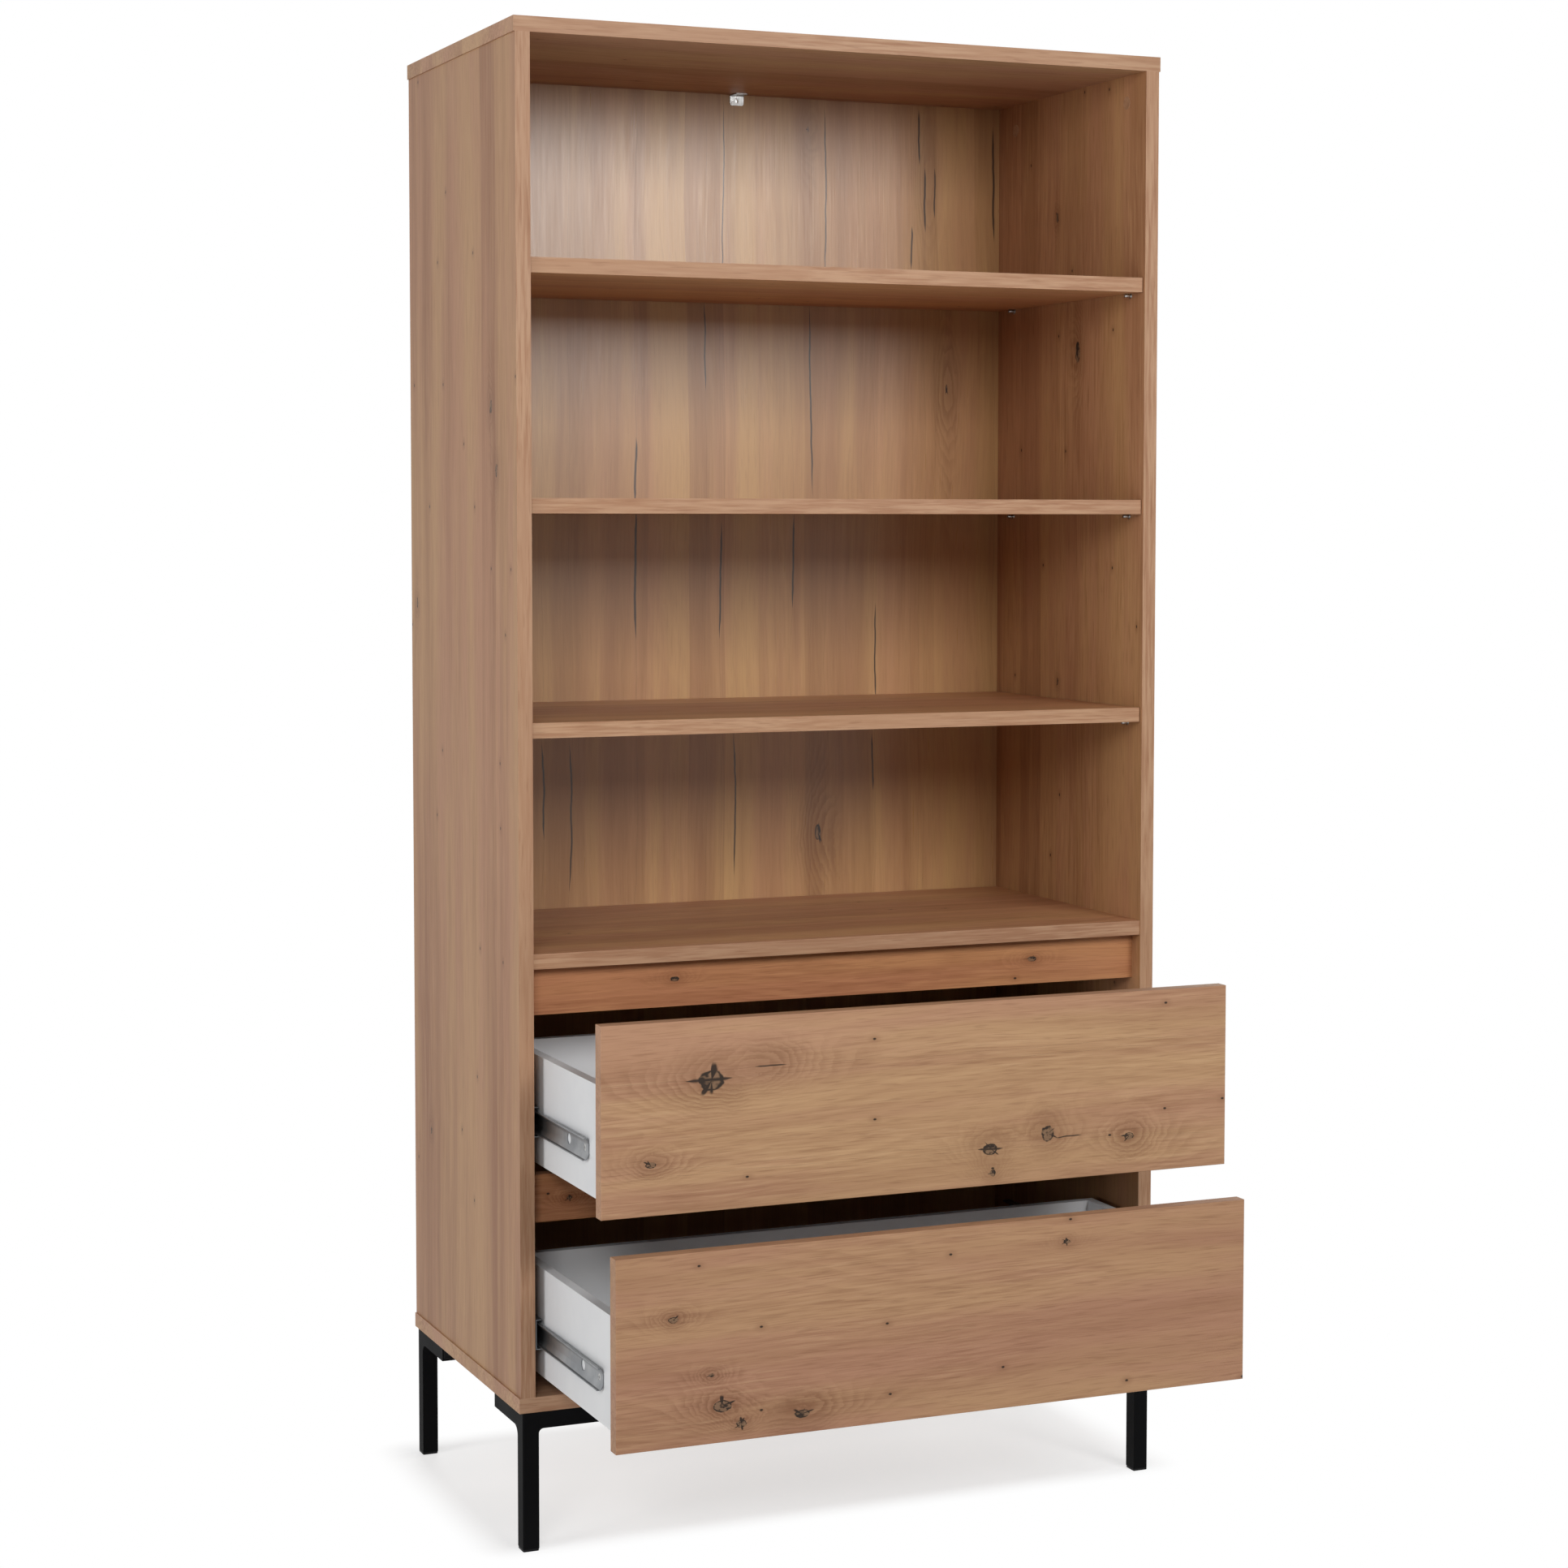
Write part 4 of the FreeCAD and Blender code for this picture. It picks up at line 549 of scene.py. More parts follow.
dress("back_panel", oak_material(
    "oak_back", "Z", "X", 5.0, strip=0.055, strips=0.28, bands=1.35, rings=0.04, streaks=0.12,
    fibres=0.10, pins=0.0, gloss=0.24, mirror=0.5, tint=(1.06, 1.04, 0.81),
    knots=((0.797, 0.135, 0.050, 0.022, 0.22), (1.400, 0.326, 0.060, 0.014, 0.10),
           (1.680, 0.293, 0.070, 0.014, 0.0), (1.742, 0.119, 0.030, 0.012, 0.12)),
    cracks=((1.50, 1.776, -0.003, 0.0009), (1.54, 1.776, 0.145, 0.0011),
            (1.39, 1.51, -0.028, 0.0011), (1.25, 1.51, 0.124, 0.0013),
            (1.24, 1.33, -0.128, 0.0016), (1.06, 1.24, -0.127, 0.0017),
            (1.06, 1.22, -0.007, 0.0014), (1.10, 1.23, 0.096, 0.0014),
            (0.97, 1.11, 0.220, 0.0012), (0.73, 0.93, -0.220, 0.0013),
            (0.80, 0.93, -0.258, 0.0014), (0.74, 0.94, 0.013, 0.0012),
            (0.85, 0.93, 0.216, 0.0012), (1.70, 1.778, 0.285, 0.0014),
            (1.61, 1.70, 0.293, 0.0015), (1.56, 1.62, 0.273, 0.0013),
            (1.63, 1.70, 0.308, 0.0012), (1.60, 1.76, 0.398, 0.0016))))

# %% The top, the bottom, the shelves and the rails
dress("top_panel", oak_material("oak_top", "X", "Y", 6.0, edge=SIDE_EDGE))
dress("bottom_panel", oak_material("oak_bottom", "X", "Y", 7.0, edge=SIDE_EDGE))
SHELVES = ("lower_shelf", "middle_shelf", "upper_shelf")
for seed, name in enumerate(("fixed_shelf",) + SHELVES, start=8):
    dress(name, oak_material(f"oak_{name}", "X", "Y", float(seed), tint=(1.15, 1.04, 0.90),
                             edge=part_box(name)[0][1] + EDGING_DEPTH))
RAIL_KNOTS = {
    "upper_rail": ((-0.220, 0.670, 0.014, 0.007, 0.45), (0.261, 0.668, 0.014, 0.007, 0.50)),
    "middle_rail": ((-0.355, 0.415, 0.01, 0.006, 0.4),)}
for seed, (name, knots) in enumerate(RAIL_KNOTS.items(), start=12):
    dress(name, oak_material(f"oak_{name}", "X", "Z", float(seed), tint=(1.02, 0.80, 0.64),
                             knots=knots))
print("materials so far:", len(bpy.data.materials))

# %% [markdown]
# ## The plain finishes
# White melamine is a hard, slightly glossy paper with a very fine orange-peel. Powder coat is matt
# and faintly grainy. Zinc-plated steel has soft cloudy patches. Fine noise, far too small to see as
# a pattern, gives each of them its surface.

# %% White melamine, black steel, zinc and beech
PEEL_DEPTH = 0.0002


def plain_material(name, base, other, roughness, metallic=0.0, cloud=12.0, peel=900.0, bump=0.1,
                   gloss=0.5):
    """A finish with soft patches of a second tone and a fine surface grain."""
    material, tree, shader = new_material(name)
    shader.inputs["Specular IOR Level"].default_value = gloss
    shader.inputs["Metallic"].default_value = metallic
    place = add_node(tree, "TexCoord").outputs["Object"]
    patches = noise(tree, place, cloud, 3.0, 0.6)
    tone = blend(tree, fade(tree, patches, 0.3, 0.7), base, other)
    tree.links.new(tone, shader.inputs["Base Color"])
    rough = fade(tree, patches, 0.2, 0.8, roughness - 0.05, roughness + 0.05)
    tree.links.new(rough, shader.inputs["Roughness"])
    grit = noise(tree, place, peel)
    relief = add_node(tree, "Bump", {"Height": grit, "Strength": bump, "Distance": PEEL_DEPTH})
    tree.links.new(relief.outputs[0], shader.inputs["Normal"])
    return material


FINISHES = {
    "white_board": plain_material("white_melamine", colour(224, 225, 226),
                                  colour(219, 220, 222), 0.42),
    "black_steel": plain_material("black_powder_coat", colour(4, 4, 5), colour(8, 8, 9), 0.6,
                                  peel=2200.0, bump=0.3, gloss=0.06),
    "black_plastic": plain_material("black_plastic", colour(10, 10, 11), colour(15, 15, 16), 0.5,
                                    gloss=0.15),
    "zinc_slide": plain_material("zinc_slide", colour(150, 152, 154), colour(128, 131, 134),
                                 0.38, metallic=1.0, cloud=30.0),
    "zinc_fitting": plain_material("zinc_fitting", colour(190, 190, 188), colour(165, 166, 166),
                                   0.3, metallic=1.0, cloud=80.0),
    "beech": plain_material("beech", colour(205, 165, 120), colour(188, 146, 103), 0.6,
                            cloud=90.0),
    "cap_foil": plain_material("cap_foil", colour(176, 136, 104), colour(160, 120, 90), 0.45,
                               cloud=160.0)}
FINISHES["zinc_bracket"] = FINISHES["zinc_fitting"]
for part in frame["record"]["subparts"]:
    if part["material_slot"] in FINISHES:
        dress(part["node"], FINISHES[part["material_slot"]])
print("plain finishes:", ", ".join(FINISHES))

# %% [markdown]
# ## Turned pins, caps and screws
# The pins, caps and screws of the frame have few flat sides, which is enough for their places. Up
# close a pin is turned on a lathe and a screw head is pressed, so both are round with a soft edge.
# Each one starts as a flat disc whose face is extruded, moved and resized again and again, so that
# the list of radii and heights reads like a turner's drawing. The cross in a screw head is cut
# with a Boolean, as a punch would press it in.

# %% Begin, pick, push and close a piece
MM = 0.001
WELD = 5e-6  # corners closer than this become one
NEAR = 1e-5  # closer than this is the same place


def begin(kind, **size):
    """Adds a primitive with nothing else selected, and opens it for editing."""
    bpy.ops.object.select_all(action="DESELECT")
    getattr(bpy.ops.mesh, f"primitive_{kind}_add")(**size)
    bpy.ops.object.mode_set(mode="EDIT")
    return bpy.context.object


def pick(piece, kind, test):
    """Selects the faces, edges or corners in edit mode whose middle and way pass a test. The way
    is the normal, or runs along the edge."""
    bpy.ops.mesh.select_mode(type=kind)
    bpy.ops.mesh.select_all(action="DESELECT")
    mesh = bmesh.from_edit_mesh(piece.data)
    for item in {"FACE": mesh.faces, "EDGE": mesh.edges, "VERT": mesh.verts}[kind]:
        if kind == "FACE":
            middle, way = item.calc_center_median(), item.normal
        elif kind == "EDGE":
            start, end = (corner.co for corner in item.verts)
            middle, way = (start + end) / 2, end - start
        else:
            middle, way = item.co, item.normal
        if test(middle, way):
            item.select_set(True)
    mesh.select_flush_mode()
    bmesh.update_edit_mesh(piece.data)


def soften(piece, kind, test, width, steps):
    """Rounds the edges of the faces, the edges or the corners that pass a test."""
    pick(piece, kind, test)
    affect = "VERTICES" if kind == "VERT" else "EDGES"
    bpy.ops.mesh.bevel(offset=width, segments=steps, affect=affect)


def push(*way):
    """Extrudes what is selected and moves it."""
    bpy.ops.mesh.extrude_region_move(TRANSFORM_OT_translate={"value": way})


def close():
    """Merges doubles, turns all faces outwards and leaves edit mode."""
    bpy.ops.mesh.select_all(action="SELECT")
    bpy.ops.mesh.remove_doubles(threshold=WELD)
    bpy.ops.mesh.normals_make_consistent(inside=False)
    bpy.ops.object.mode_set(mode="OBJECT")


# %% Turned pieces, blocks, sheets and holes


def turned(profile, sides=24):
    """A turned piece along Z. Its profile is a list of radius and height."""
    radius, height = profile[0]
    piece = begin("circle", vertices=sides, radius=radius, fill_type="NGON")
    bpy.ops.transform.translate(value=(0, 0, height))
    for (last, low), (wide, high) in zip(profile, profile[1:]):
        push(0, 0, high - low)
        bpy.ops.transform.resize(value=(wide / last, wide / last, 1), center_override=(0, 0, high))
    close()
    return piece


def block(side, height, middle=0.0):
    """A square block along Z, open for editing."""
    piece = begin("cube", size=side)
    bpy.ops.transform.resize(value=(1, 1, height / side), center_override=(0, 0, 0))
    bpy.ops.transform.translate(value=(0, 0, middle))
    return piece


def strip_of(length, width, middle):
    """A flat strip across Z, open for editing."""
    piece = begin("plane", size=1)
    bpy.ops.transform.resize(value=(length, width, 1), center_override=(0, 0, 0))
    bpy.ops.transform.translate(value=middle)
    return piece


def thicken(piece, sheet, up):
    """Gives a folded strip the thickness of its sheet, behind its largest face, which is made to
    look up (1) or down (-1)."""
    bpy.ops.mesh.select_all(action="SELECT")
    bpy.ops.mesh.normals_make_consistent(inside=False)
    bpy.ops.object.mode_set(mode="OBJECT")
    if max(piece.data.polygons, key=lambda face: face.area).normal.z * up < 0:
        piece.data.flip_normals()
    modifier = piece.modifiers.new("sheet", "SOLIDIFY")
    modifier.thickness = sheet
    modifier.offset = -1
    modifier.use_even_offset = True
    bpy.ops.object.modifier_apply(modifier=modifier.name)


def cut(piece, cutter):
    """Takes the shape of the cutter out of the piece."""
    modifier = piece.modifiers.new("cut", "BOOLEAN")
    modifier.operation = "DIFFERENCE"
    modifier.solver = "EXACT"
    modifier.object = cutter
    bpy.context.view_layer.objects.active = piece
    bpy.ops.object.modifier_apply(modifier=modifier.name)
    bpy.data.objects.remove(cutter)


def drill(piece, radius, sheet, spot, turn=(0, 0, 0)):
    """Cuts a round hole through a sheet."""
    hole = begin("cylinder", vertices=32, radius=radius, depth=4 * sheet, location=spot,
                 rotation=turn)
    bpy.ops.object.mode_set(mode="OBJECT")
    cut(piece, hole)


# %% Copy, place and settle pieces
SIDES = (-1, 1)  # the left and the right side
SMOOTH_BELOW = 35  # degrees


def copies(piece, moves):
    """One copy per matrix, each with its own mesh. The pattern itself goes."""
    made = []
    for move in moves:
        copy = bpy.data.objects.new(piece.name, piece.data.copy())
        scene.collection.objects.link(copy)
        copy.data.transform(move)
        if move.determinant() < 0:
            copy.data.flip_normals()
        made.append(copy)
    bpy.data.objects.remove(piece)
    return made


def settle(parts, name, body, kind, *stands_for):
    """Joins parts to one named piece at the origin, smooths it, gives it the finish of its
    kind and puts it on its body."""
    bpy.ops.object.select_all(action="DESELECT")
    for part in parts:
        part.select_set(True)
    bpy.context.view_layer.objects.active = parts[0]
    if len(parts) > 1:
        bpy.ops.object.join()
    piece = bpy.context.object
    bpy.ops.object.transform_apply(location=True, rotation=True, scale=True)
    bpy.ops.object.shade_smooth_by_angle(angle=math.radians(SMOOTH_BELOW))
    piece.name = piece.data.name = name
    piece.data.materials.clear()
    piece.data.materials.append(FINISHES[kind])
    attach(piece, body)
    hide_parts(*stands_for)
    print(name, "faces:", len(piece.data.polygons))


def facing(direction, spot):
    """The matrix that turns Z to a direction and then moves to a spot."""
    turn = Vector((0, 0, 1)).rotation_difference(Vector(direction)).to_matrix().to_4x4()
    return Matrix.Translation(spot) @ turn


def inward(side, out, along, up):
    """The matrix for a piece on one side that points to the middle of the bookcase."""
    return facing((-side, 0, 0), (side * out, along, up))


# %% Turn the shelf pins
SIDE_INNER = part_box("right_side_panel")[0][0]
PIN_RADIUS, PIN_HALF = 2.5 * MM, 9 * MM
COLLAR_RADIUS, COLLAR = 4 * MM, 1 * MM
EASE = 0.3 * MM
pin = turned([
    (PIN_RADIUS - 2 * EASE, -PIN_HALF), (PIN_RADIUS, EASE - PIN_HALF), (PIN_RADIUS, 0),
    (COLLAR_RADIUS - EASE, 0), (COLLAR_RADIUS, EASE), (COLLAR_RADIUS, COLLAR - EASE),
    (COLLAR_RADIUS - EASE, COLLAR), (PIN_RADIUS, COLLAR), (PIN_RADIUS, PIN_HALF - 2 * EASE),
    (PIN_RADIUS - EASE, PIN_HALF - EASE / 2), (PIN_RADIUS - 3 * EASE, PIN_HALF)])
pin_low, pin_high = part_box("shelf_pins")
pin_rows = (pin_low[1] + COLLAR_RADIUS, pin_high[1] - COLLAR_RADIUS)
pin_heights = [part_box(name)[0][2] - PIN_RADIUS for name in SHELVES]
pins = copies(pin, [inward(side, SIDE_INNER, y, z)
                    for side in SIDES for y in pin_rows for z in pin_heights])
settle(pins, "turned_shelf_pins", "cabinet", "zinc_fitting", "shelf_pins")

# %% Press the cover caps
CAP_RADIUS, CAP_THICK = 8.5 * MM, 0.4 * MM
CAP_SIDES = 40
cap = turned([
    (CAP_RADIUS, 0), (CAP_RADIUS, CAP_THICK / 2), (CAP_RADIUS - 0.3 * MM, CAP_THICK),
    (CAP_RADIUS - 1.2 * MM, CAP_THICK), (CAP_RADIUS - 1.8 * MM, CAP_THICK * 0.7)], CAP_SIDES)
cap_low, cap_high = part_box("cam_cover_caps")
cap_rows = (cap_low[1] + CAP_RADIUS, cap_high[1] - CAP_RADIUS)
cap_heights = (cap_low[2] + CAP_RADIUS, cap_high[2] - CAP_RADIUS)
caps = copies(cap, [inward(side, SIDE_INNER, y, z)
                    for side in SIDES for y in cap_rows for z in cap_heights])
settle(caps, "pressed_cover_caps", "cabinet", "cap_foil", "cam_cover_caps")

# %% [markdown]
# ## Screws with a cross
# All the wood screws have a low, slightly domed head with a cross for the driver. The cross is one
# small block whose four sides are extruded outwards, so it is a clean solid to cut with. The screws
# at the front of a slide lie flush in the sheet, so their heads are flat.

# %% The screw
SCREW_RADIUS, HEAD_RADIUS, HEAD = 1.8 * MM, 3.8 * MM, 0.8 * MM
SCREW_HOLE = 1.9 * MM
BITE = 11 * MM
SHEET = 1.2 * MM


def screw(head_radius, head, shank, length, dome=0.6, deep=0.85):
    """A screw along Z, from the outer face of its head at nought to its point."""
    rise = head * dome
    piece = turned([
        (head_radius * 0.55, 0), (head_radius * 0.85, rise * 0.25), (head_radius, rise),
        (head_radius, head), (shank, head), (shank, head + length - 1.5 * shank),
        (shank * 0.15, head + length)])
    cross = block(head_radius * 0.28, 2 * head * deep)
    pick(cross, "FACE", lambda middle, normal: abs(normal.z) < 0.5)
    bpy.ops.mesh.extrude_faces_move(TRANSFORM_OT_shrink_fatten={"value": head_radius * 0.42})
    close()
    cut(piece, cross)
    return piece


# %% Press the screws of the carcass
slide_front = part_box("upper_left_cabinet_member")[0][1]
slide_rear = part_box("upper_left_cabinet_member")[1][1]
slide_heights = [sum(corner[2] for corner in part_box(f"{level}_left_cabinet_member")) / 2
                 for level in ("lower", "upper")]
SCREW_END = 36 * MM
member_screws = [facing((side, 0, 0), (side * (SIDE_INNER - SHEET - HEAD), y, z))
                 for side in SIDES for y in (slide_front + SCREW_END, slide_rear - SCREW_END)
                 for z in slide_heights]
bracket_low, bracket_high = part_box("wall_bracket")
BRACKET_SHEET, BRACKET_SCREW, WALL_HOLE_DROP = 1.5 * MM, 12 * MM, 8 * MM
bracket_x = (bracket_low[0] + bracket_high[0]) / 2
bracket_y = bracket_high[1] - BRACKET_SCREW
bracket_screw = facing((0, 0, 1), (bracket_x, bracket_y, bracket_high[2] - BRACKET_SHEET - HEAD))
wood_screws = copies(screw(HEAD_RADIUS, HEAD, SCREW_RADIUS, SHEET + BITE), member_screws)
wood_screws += copies(screw(HEAD_RADIUS, HEAD, SCREW_RADIUS, BRACKET_SHEET + BITE),
                      [bracket_screw])
settle(wood_screws, "pressed_carcass_screws", "cabinet", "zinc_fitting", "carcass_screws")

# %% Press the screws of the drawers
BOX_SCREW, BACK_SCREW = 9 * MM, 22 * MM
FLUSH_RADIUS = 4.15 * MM
FIXING_HOLE, ACCESS_HOLE, REAR_HOLE = 12.7 * MM, 68 * MM, 21 * MM
FIXING_LOW, FIXING_HIGH = 26 * MM, 20 * MM
for level in ("lower", "upper"):
    rail_low, rail_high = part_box(f"{level}_right_drawer_member")
    side_low, side_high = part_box(f"{level}_drawer_right_side")
    back_low, back_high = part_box(f"{level}_drawer_back")
    middle = (rail_low[2] + rail_high[2]) / 2
    back_y = (back_low[1] + back_high[1]) / 2
    web = side_high[0] + SHEET
    heights = (side_low[2] + FIXING_LOW, side_high[2] - FIXING_HIGH)
    screws = copies(screw(FLUSH_RADIUS, SHEET, SCREW_RADIUS, BOX_SCREW, dome=0.15, deep=0.7),
                    [inward(side, web, rail_low[1] + FIXING_HOLE, middle) for side in SIDES])
    screws += copies(screw(HEAD_RADIUS, HEAD, SCREW_RADIUS, SHEET + BOX_SCREW),
                     [inward(side, web + HEAD, rail_high[1] - REAR_HOLE, middle)
                      for side in SIDES])
    screws += copies(screw(HEAD_RADIUS, HEAD, SCREW_RADIUS, BACK_SCREW),
                     [inward(side, side_high[0] + HEAD, back_y, z)
                      for side in SIDES for z in heights])
    settle(screws, f"pressed_{level}_drawer_screws", f"{level}_drawer", "zinc_fitting",
           f"{level}_drawer_screws")

# %% [markdown]
# ## The rolled slide members
# The member on the drawer is rolled from sheet: a flat web, two sloping bands and two flanges that
# run on the balls. A sheet-metal worker folds a strip, and so does this cell. One edge is extruded
# twice on each side and the folds are rounded with a bevel. Planes cut the lower front corner
# round, Solidify gives the sheet its thickness, and three round holes are cut out. The strip is
# folded lying flat and then copied to both drawers, mirrored for the left side.

# %% Roll the drawer members
RAIL_LENGTH = slide_rear - slide_front
RAIL_FLAT, RAIL_HALF, RAIL_BEND, RAIL_FLANGE = 6 * MM, 13.3 * MM, 3.3 * MM, 3.8 * MM
FOLD_ROUND = 1.3 * MM
CORNER = 5 * MM
RAIL_HOLES = ((FIXING_HOLE, 4.25 * MM), (ACCESS_HOLE, 6.5 * MM),
              (RAIL_LENGTH - REAR_HOLE, SCREW_HOLE))
rail = strip_of(RAIL_LENGTH, 2 * RAIL_FLAT, (RAIL_LENGTH / 2, 0, 0))
for up in (1, -1):
    pick(rail, "EDGE", lambda middle, way: abs(middle.y - up * RAIL_FLAT) < NEAR)
    push(0, up * (RAIL_HALF - RAIL_FLAT), RAIL_BEND)
    push(0, 0, RAIL_FLANGE)
soften(rail, "EDGE", lambda middle, way: abs(way.x) > 0.1 and middle.z < RAIL_BEND + NEAR,
       FOLD_ROUND, 4)
for share in (0.15, 0.5, 0.85):
    # a plane that touches the corner's circle
    angle = share * math.pi / 2
    normal = Vector((-math.sin(angle), -math.cos(angle), 0))
    on_circle = Vector((CORNER, CORNER - RAIL_HALF, 0)) + normal * CORNER
    bpy.ops.mesh.select_all(action="SELECT")
    bpy.ops.mesh.bisect(plane_co=on_circle, plane_no=normal, clear_outer=True)
thicken(rail, SHEET, up=-1)
for along, radius in RAIL_HOLES:
    drill(rail, radius, SHEET, (along, 0, 0))
print("rail faces:", len(rail.data.polygons))

# %% Put them on the drawers
rail_moves = {}
for level in ("lower", "upper"):
    for word, side in zip(("left", "right"), SIDES):
        low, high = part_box(f"{level}_{word}_drawer_member")
        web_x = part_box(f"{level}_drawer_{word}_side")[1 if side > 0 else 0][0]
        rail_moves[level, word] = Matrix(((0, 0, side, web_x), (1, 0, 0, low[1]),
                                          (0, 1, 0, (low[2] + high[2]) / 2), (0, 0, 0, 1)))
for (level, word), rail_copy in zip(rail_moves, copies(rail, rail_moves.values())):
    settle([rail_copy], f"rolled_{level}_{word}_drawer_member", f"{level}_drawer", "zinc_slide",
           f"{level}_{word}_drawer_member")

# %% [markdown]
# ## The wall bracket
# A small angle of zinc-plated sheet ties the bookcase to the wall. It is folded like the slides.
# Its free corners are rounded, which a bevel of single corner points does.

# %% Fold the bracket
WALL_HOLE = 2.5 * MM
width, reach = bracket_high[0] - bracket_low[0], bracket_high[1] - bracket_low[1]
drop = bracket_high[2] - bracket_low[2]
bracket = strip_of(width, reach, (bracket_x, bracket_low[1] + reach / 2, bracket_high[2]))
pick(bracket, "EDGE", lambda middle, way: middle.y > bracket_high[1] - NEAR)
push(0, 0, -drop)
soften(bracket, "VERT", lambda place, normal: place.y < bracket_low[1] + NEAR
       or place.z < bracket_low[2] + NEAR, 3 * MM, 5)
soften(bracket, "EDGE", lambda middle, way: middle.y > bracket_high[1] - NEAR
       and middle.z > bracket_high[2] - NEAR, 2 * MM, 4)
thicken(bracket, BRACKET_SHEET, up=1)
drill(bracket, WALL_HOLE, BRACKET_SHEET,
      (bracket_x, bracket_high[1], bracket_high[2] - WALL_HOLE_DROP), (math.pi / 2, 0, 0))
drill(bracket, SCREW_HOLE, BRACKET_SHEET, (bracket_x, bracket_y, bracket_high[2]))
settle([bracket], "folded_wall_bracket", "cabinet", "zinc_bracket", "wall_bracket")

# %% [markdown]
# ## Leg screws, glides and plugs
# Each arm of a leg is held by a screw with a high round head, which sits in a large hole from
# below. The glides are moulded plastic blocks with soft edges, pressed into the posts, and small
# plugs with a sunken middle close the arms' open ends.

# %% Press the screws of the legs
LEG_HEAD_RADIUS, LEG_HEAD, LEG_SHANK, LEG_BITE = 4.6 * MM, 2.6 * MM, 2.4 * MM, 12 * MM
TUBE, TUBE_WALL, PLUG_PLAY, ARM_SCREW, ARM_PLUG = 20 * MM, 1.5 * MM, 0.2 * MM, 24 * MM, 8 * MM
arm_ends = []
post_middles = []
for name in ("front_left_leg", "front_right_leg", "rear_left_leg", "rear_right_leg"):
    low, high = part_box(name)
    x_out = 1 if high[0] > 0 else -1
    y_out = 1 if "rear" in name else -1
    x_end, x_post = (low[0], high[0] - TUBE / 2) if x_out > 0 else (high[0], low[0] + TUBE / 2)
    y_end, y_post = (low[1], high[1] - TUBE / 2) if y_out > 0 else (high[1], low[1] + TUBE / 2)
    arm_ends += [(Vector((x_end, y_post, high[2] - TUBE / 2)), Vector((-x_out, 0, 0))),
                 (Vector((x_post, y_end, high[2] - TUBE / 2)), Vector((0, -y_out, 0)))]
    post_middles.append((x_post, y_post, 0))
under_wall = Vector((0, 0, TUBE / 2 - TUBE_WALL - LEG_HEAD))
leg_screws = copies(screw(LEG_HEAD_RADIUS, LEG_HEAD, LEG_SHANK, TUBE_WALL + LEG_BITE, deep=0.7),
                    [facing((0, 0, 1), end - way * ARM_SCREW + under_wall)
                     for end, way in arm_ends])
settle(leg_screws, "pressed_leg_screws", "cabinet", "zinc_fitting", "leg_screws")

# %% Mould the glides
GLIDE, GLIDE_PLUG = 3 * MM, 14 * MM
plug_side = TUBE - 2 * (TUBE_WALL + PLUG_PLAY)
glide = block(TUBE, GLIDE, GLIDE / 2)
soften(glide, "EDGE", lambda middle, way: abs(way.z) > 0.5 * GLIDE, 2 * MM, 4)
pick(glide, "FACE", lambda middle, normal: normal.z > 0.9)
bpy.ops.mesh.inset(thickness=(TUBE - plug_side) / 2)
push(0, 0, GLIDE_PLUG)
soften(glide, "EDGE", lambda middle, way: middle.z < NEAR, 0.8 * MM, 3)
close()
glides = copies(glide, [Matrix.Translation(middle) for middle in post_middles])
settle(glides, "moulded_foot_glides", "cabinet", "black_plastic", "foot_glides")

# %% Mould the plugs of the arms
PLUG_RIM, PLUG_SINK = 1.6 * MM, 1.2 * MM
plug = block(plug_side, ARM_PLUG, -ARM_PLUG / 2)
soften(plug, "EDGE", lambda middle, way: abs(way.z) > 0.5 * ARM_PLUG, 0.8 * MM, 2)
soften(plug, "FACE", lambda middle, normal: normal.z > 0.9, 0.5 * MM, 2)
pick(plug, "FACE", lambda middle, normal: normal.z > 0.9 and middle.z > -NEAR)
bpy.ops.mesh.inset(thickness=PLUG_RIM)
push(0, 0, -PLUG_SINK)
close()
plugs = copies(plug, [facing(way, end) for end, way in arm_ends])
settle(plugs, "moulded_arm_plugs", "cabinet", "black_plastic", "arm_end_plugs")

# %% [markdown]
# ## Floor, lamps and world
# The floor takes light and a soft shadow under the bookcase and fades to white round it. The light
# that it throws back is that of a pale board. Five soft lamps stand in front, above the camera, on
# the left, weaker on the right, and behind for views of the back. The world adds a little light
# from everywhere and looks white itself.

# %% What the camera sees and what only lights


def straight_rays(tree):
    """One for rays that show a surface, nought for those that only light."""
    rays = add_node(tree, "LightPath").outputs
    bent = larger(tree, rays["Is Glossy Ray"], rays["Is Transmission Ray"])
    return larger(tree, rays["Is Camera Ray"], bent)


def glow(tree, strength):
    inputs = {"Color": (1, 1, 1, 1), "Strength": strength}
    return add_node(tree, "Emission", inputs).outputs[0]


# %% The floor
FLOOR_SIZE = 60
FLOOR_KEEPS = 0.53
FLOOR_GLOW = 0.59
FOOTPRINT = (0.425, 0.205)  # half its width and depth
FOOTPRINT_MIDDLE = (0, 0.15, 0)
FADE_START, FADE_END = -0.01, 0.06

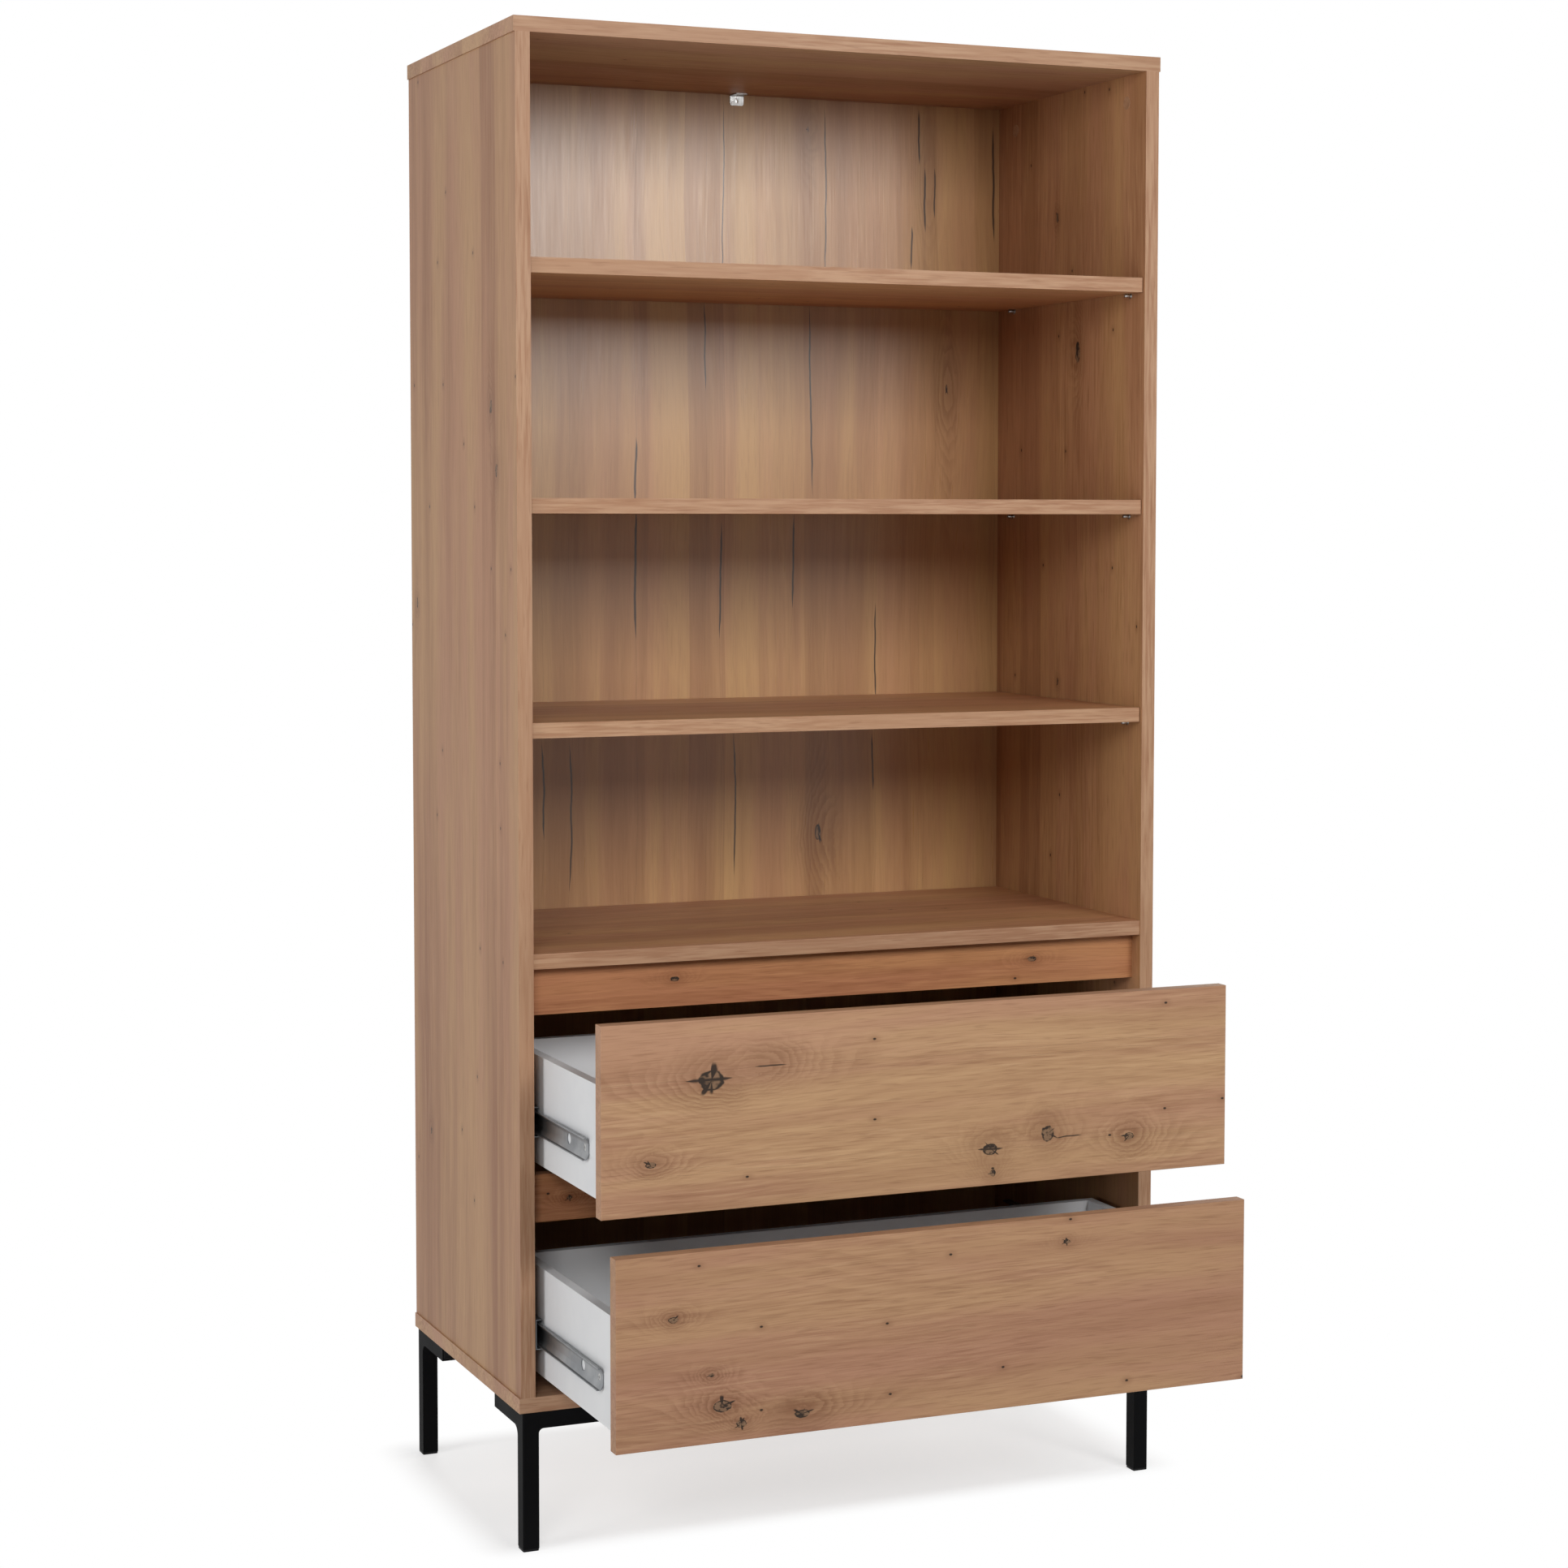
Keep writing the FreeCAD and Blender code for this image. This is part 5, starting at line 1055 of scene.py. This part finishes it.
bpy.ops.object.select_all(action="DESELECT")
bpy.ops.mesh.primitive_plane_add(size=FLOOR_SIZE)
floor = bpy.context.object
floor.name = "floor"
floor_material, tree, shader = new_material("floor")
shader.inputs["Base Color"].default_value = (0.8, 0.8, 0.8, 1)
shader.inputs["Roughness"].default_value = 0.9
matt = add_node(tree, "BsdfDiffuse", {"Color": (FLOOR_KEEPS, FLOOR_KEEPS, FLOOR_KEEPS, 1)})
under = add_node(tree, "AddShader", {0: matt.outputs[0], 1: glow(tree, FLOOR_GLOW)})
place = add_node(tree, "TexCoord").outputs["Object"]
spot = parts_of(tree, vector_calc(tree, "SUBTRACT", place, FOOTPRINT_MIDDLE))
beside, behind = (
    larger(tree, minus(tree, calc(tree, "ABSOLUTE", part), half), 0.0)
    for part, half in zip(spot, FOOTPRINT))
away = fade(tree, distance(tree, beside, behind), FADE_START, FADE_END)
shown = add_node(tree, "MixShader", {0: away, 1: under.outputs[0], 2: glow(tree, 1.0)})
either = add_node(tree, "MixShader", {0: straight_rays(tree), 1: shader.outputs[0],
                                      2: shown.outputs[0]})
tree.links.new(either.outputs[0], tree.nodes["Material Output"].inputs["Surface"])
floor.data.materials.append(floor_material)
print("floor nodes:", len(tree.nodes))

# %% The lamps
LAMP_AIM = (0, 0, 1)
LAMPS = {
    # place, size and power
    "front lamp": ((0.9, -3.2, 2.2), (1.4, 1.1), 63),
    "camera lamp": ((-2.1, -3.2, 2.3), (1.1, 1.1), 38),
    "left lamp": ((-3.3, -0.75, 1.4), (1.4, 2.0), 43),
    "right lamp": ((3.4, 0.9, 1.8), (1.4, 1.6), 30),
    "rear lamp": ((0.6, 3.4, 2.0), (1.4, 1.4), 35)}
for name, (place, size, power) in LAMPS.items():
    data = bpy.data.lights.new(name, "AREA")
    data.shape = "RECTANGLE"
    data.size, data.size_y = size
    data.energy = power
    lamp = bpy.data.objects.new(name, data)
    lamp.location = place
    lamp.rotation_euler = (Vector(LAMP_AIM) - lamp.location).to_track_quat("-Z", "Y").to_euler()
    scene.collection.objects.link(lamp)
print("lamps:", ", ".join(LAMPS))

# %% The world
AMBIENT = 0.07
world = bpy.data.worlds.new("world")
world.use_nodes = True
scene.world = world
tree = world.node_tree
sky = tree.nodes["Background"]
sky.inputs["Color"].default_value = (1, 1, 1, 1)
strength = fade(tree, straight_rays(tree), 0.0, 1.0, AMBIENT, 1.0)
tree.links.new(strength, sky.inputs["Strength"])
print("world nodes:", len(tree.nodes))
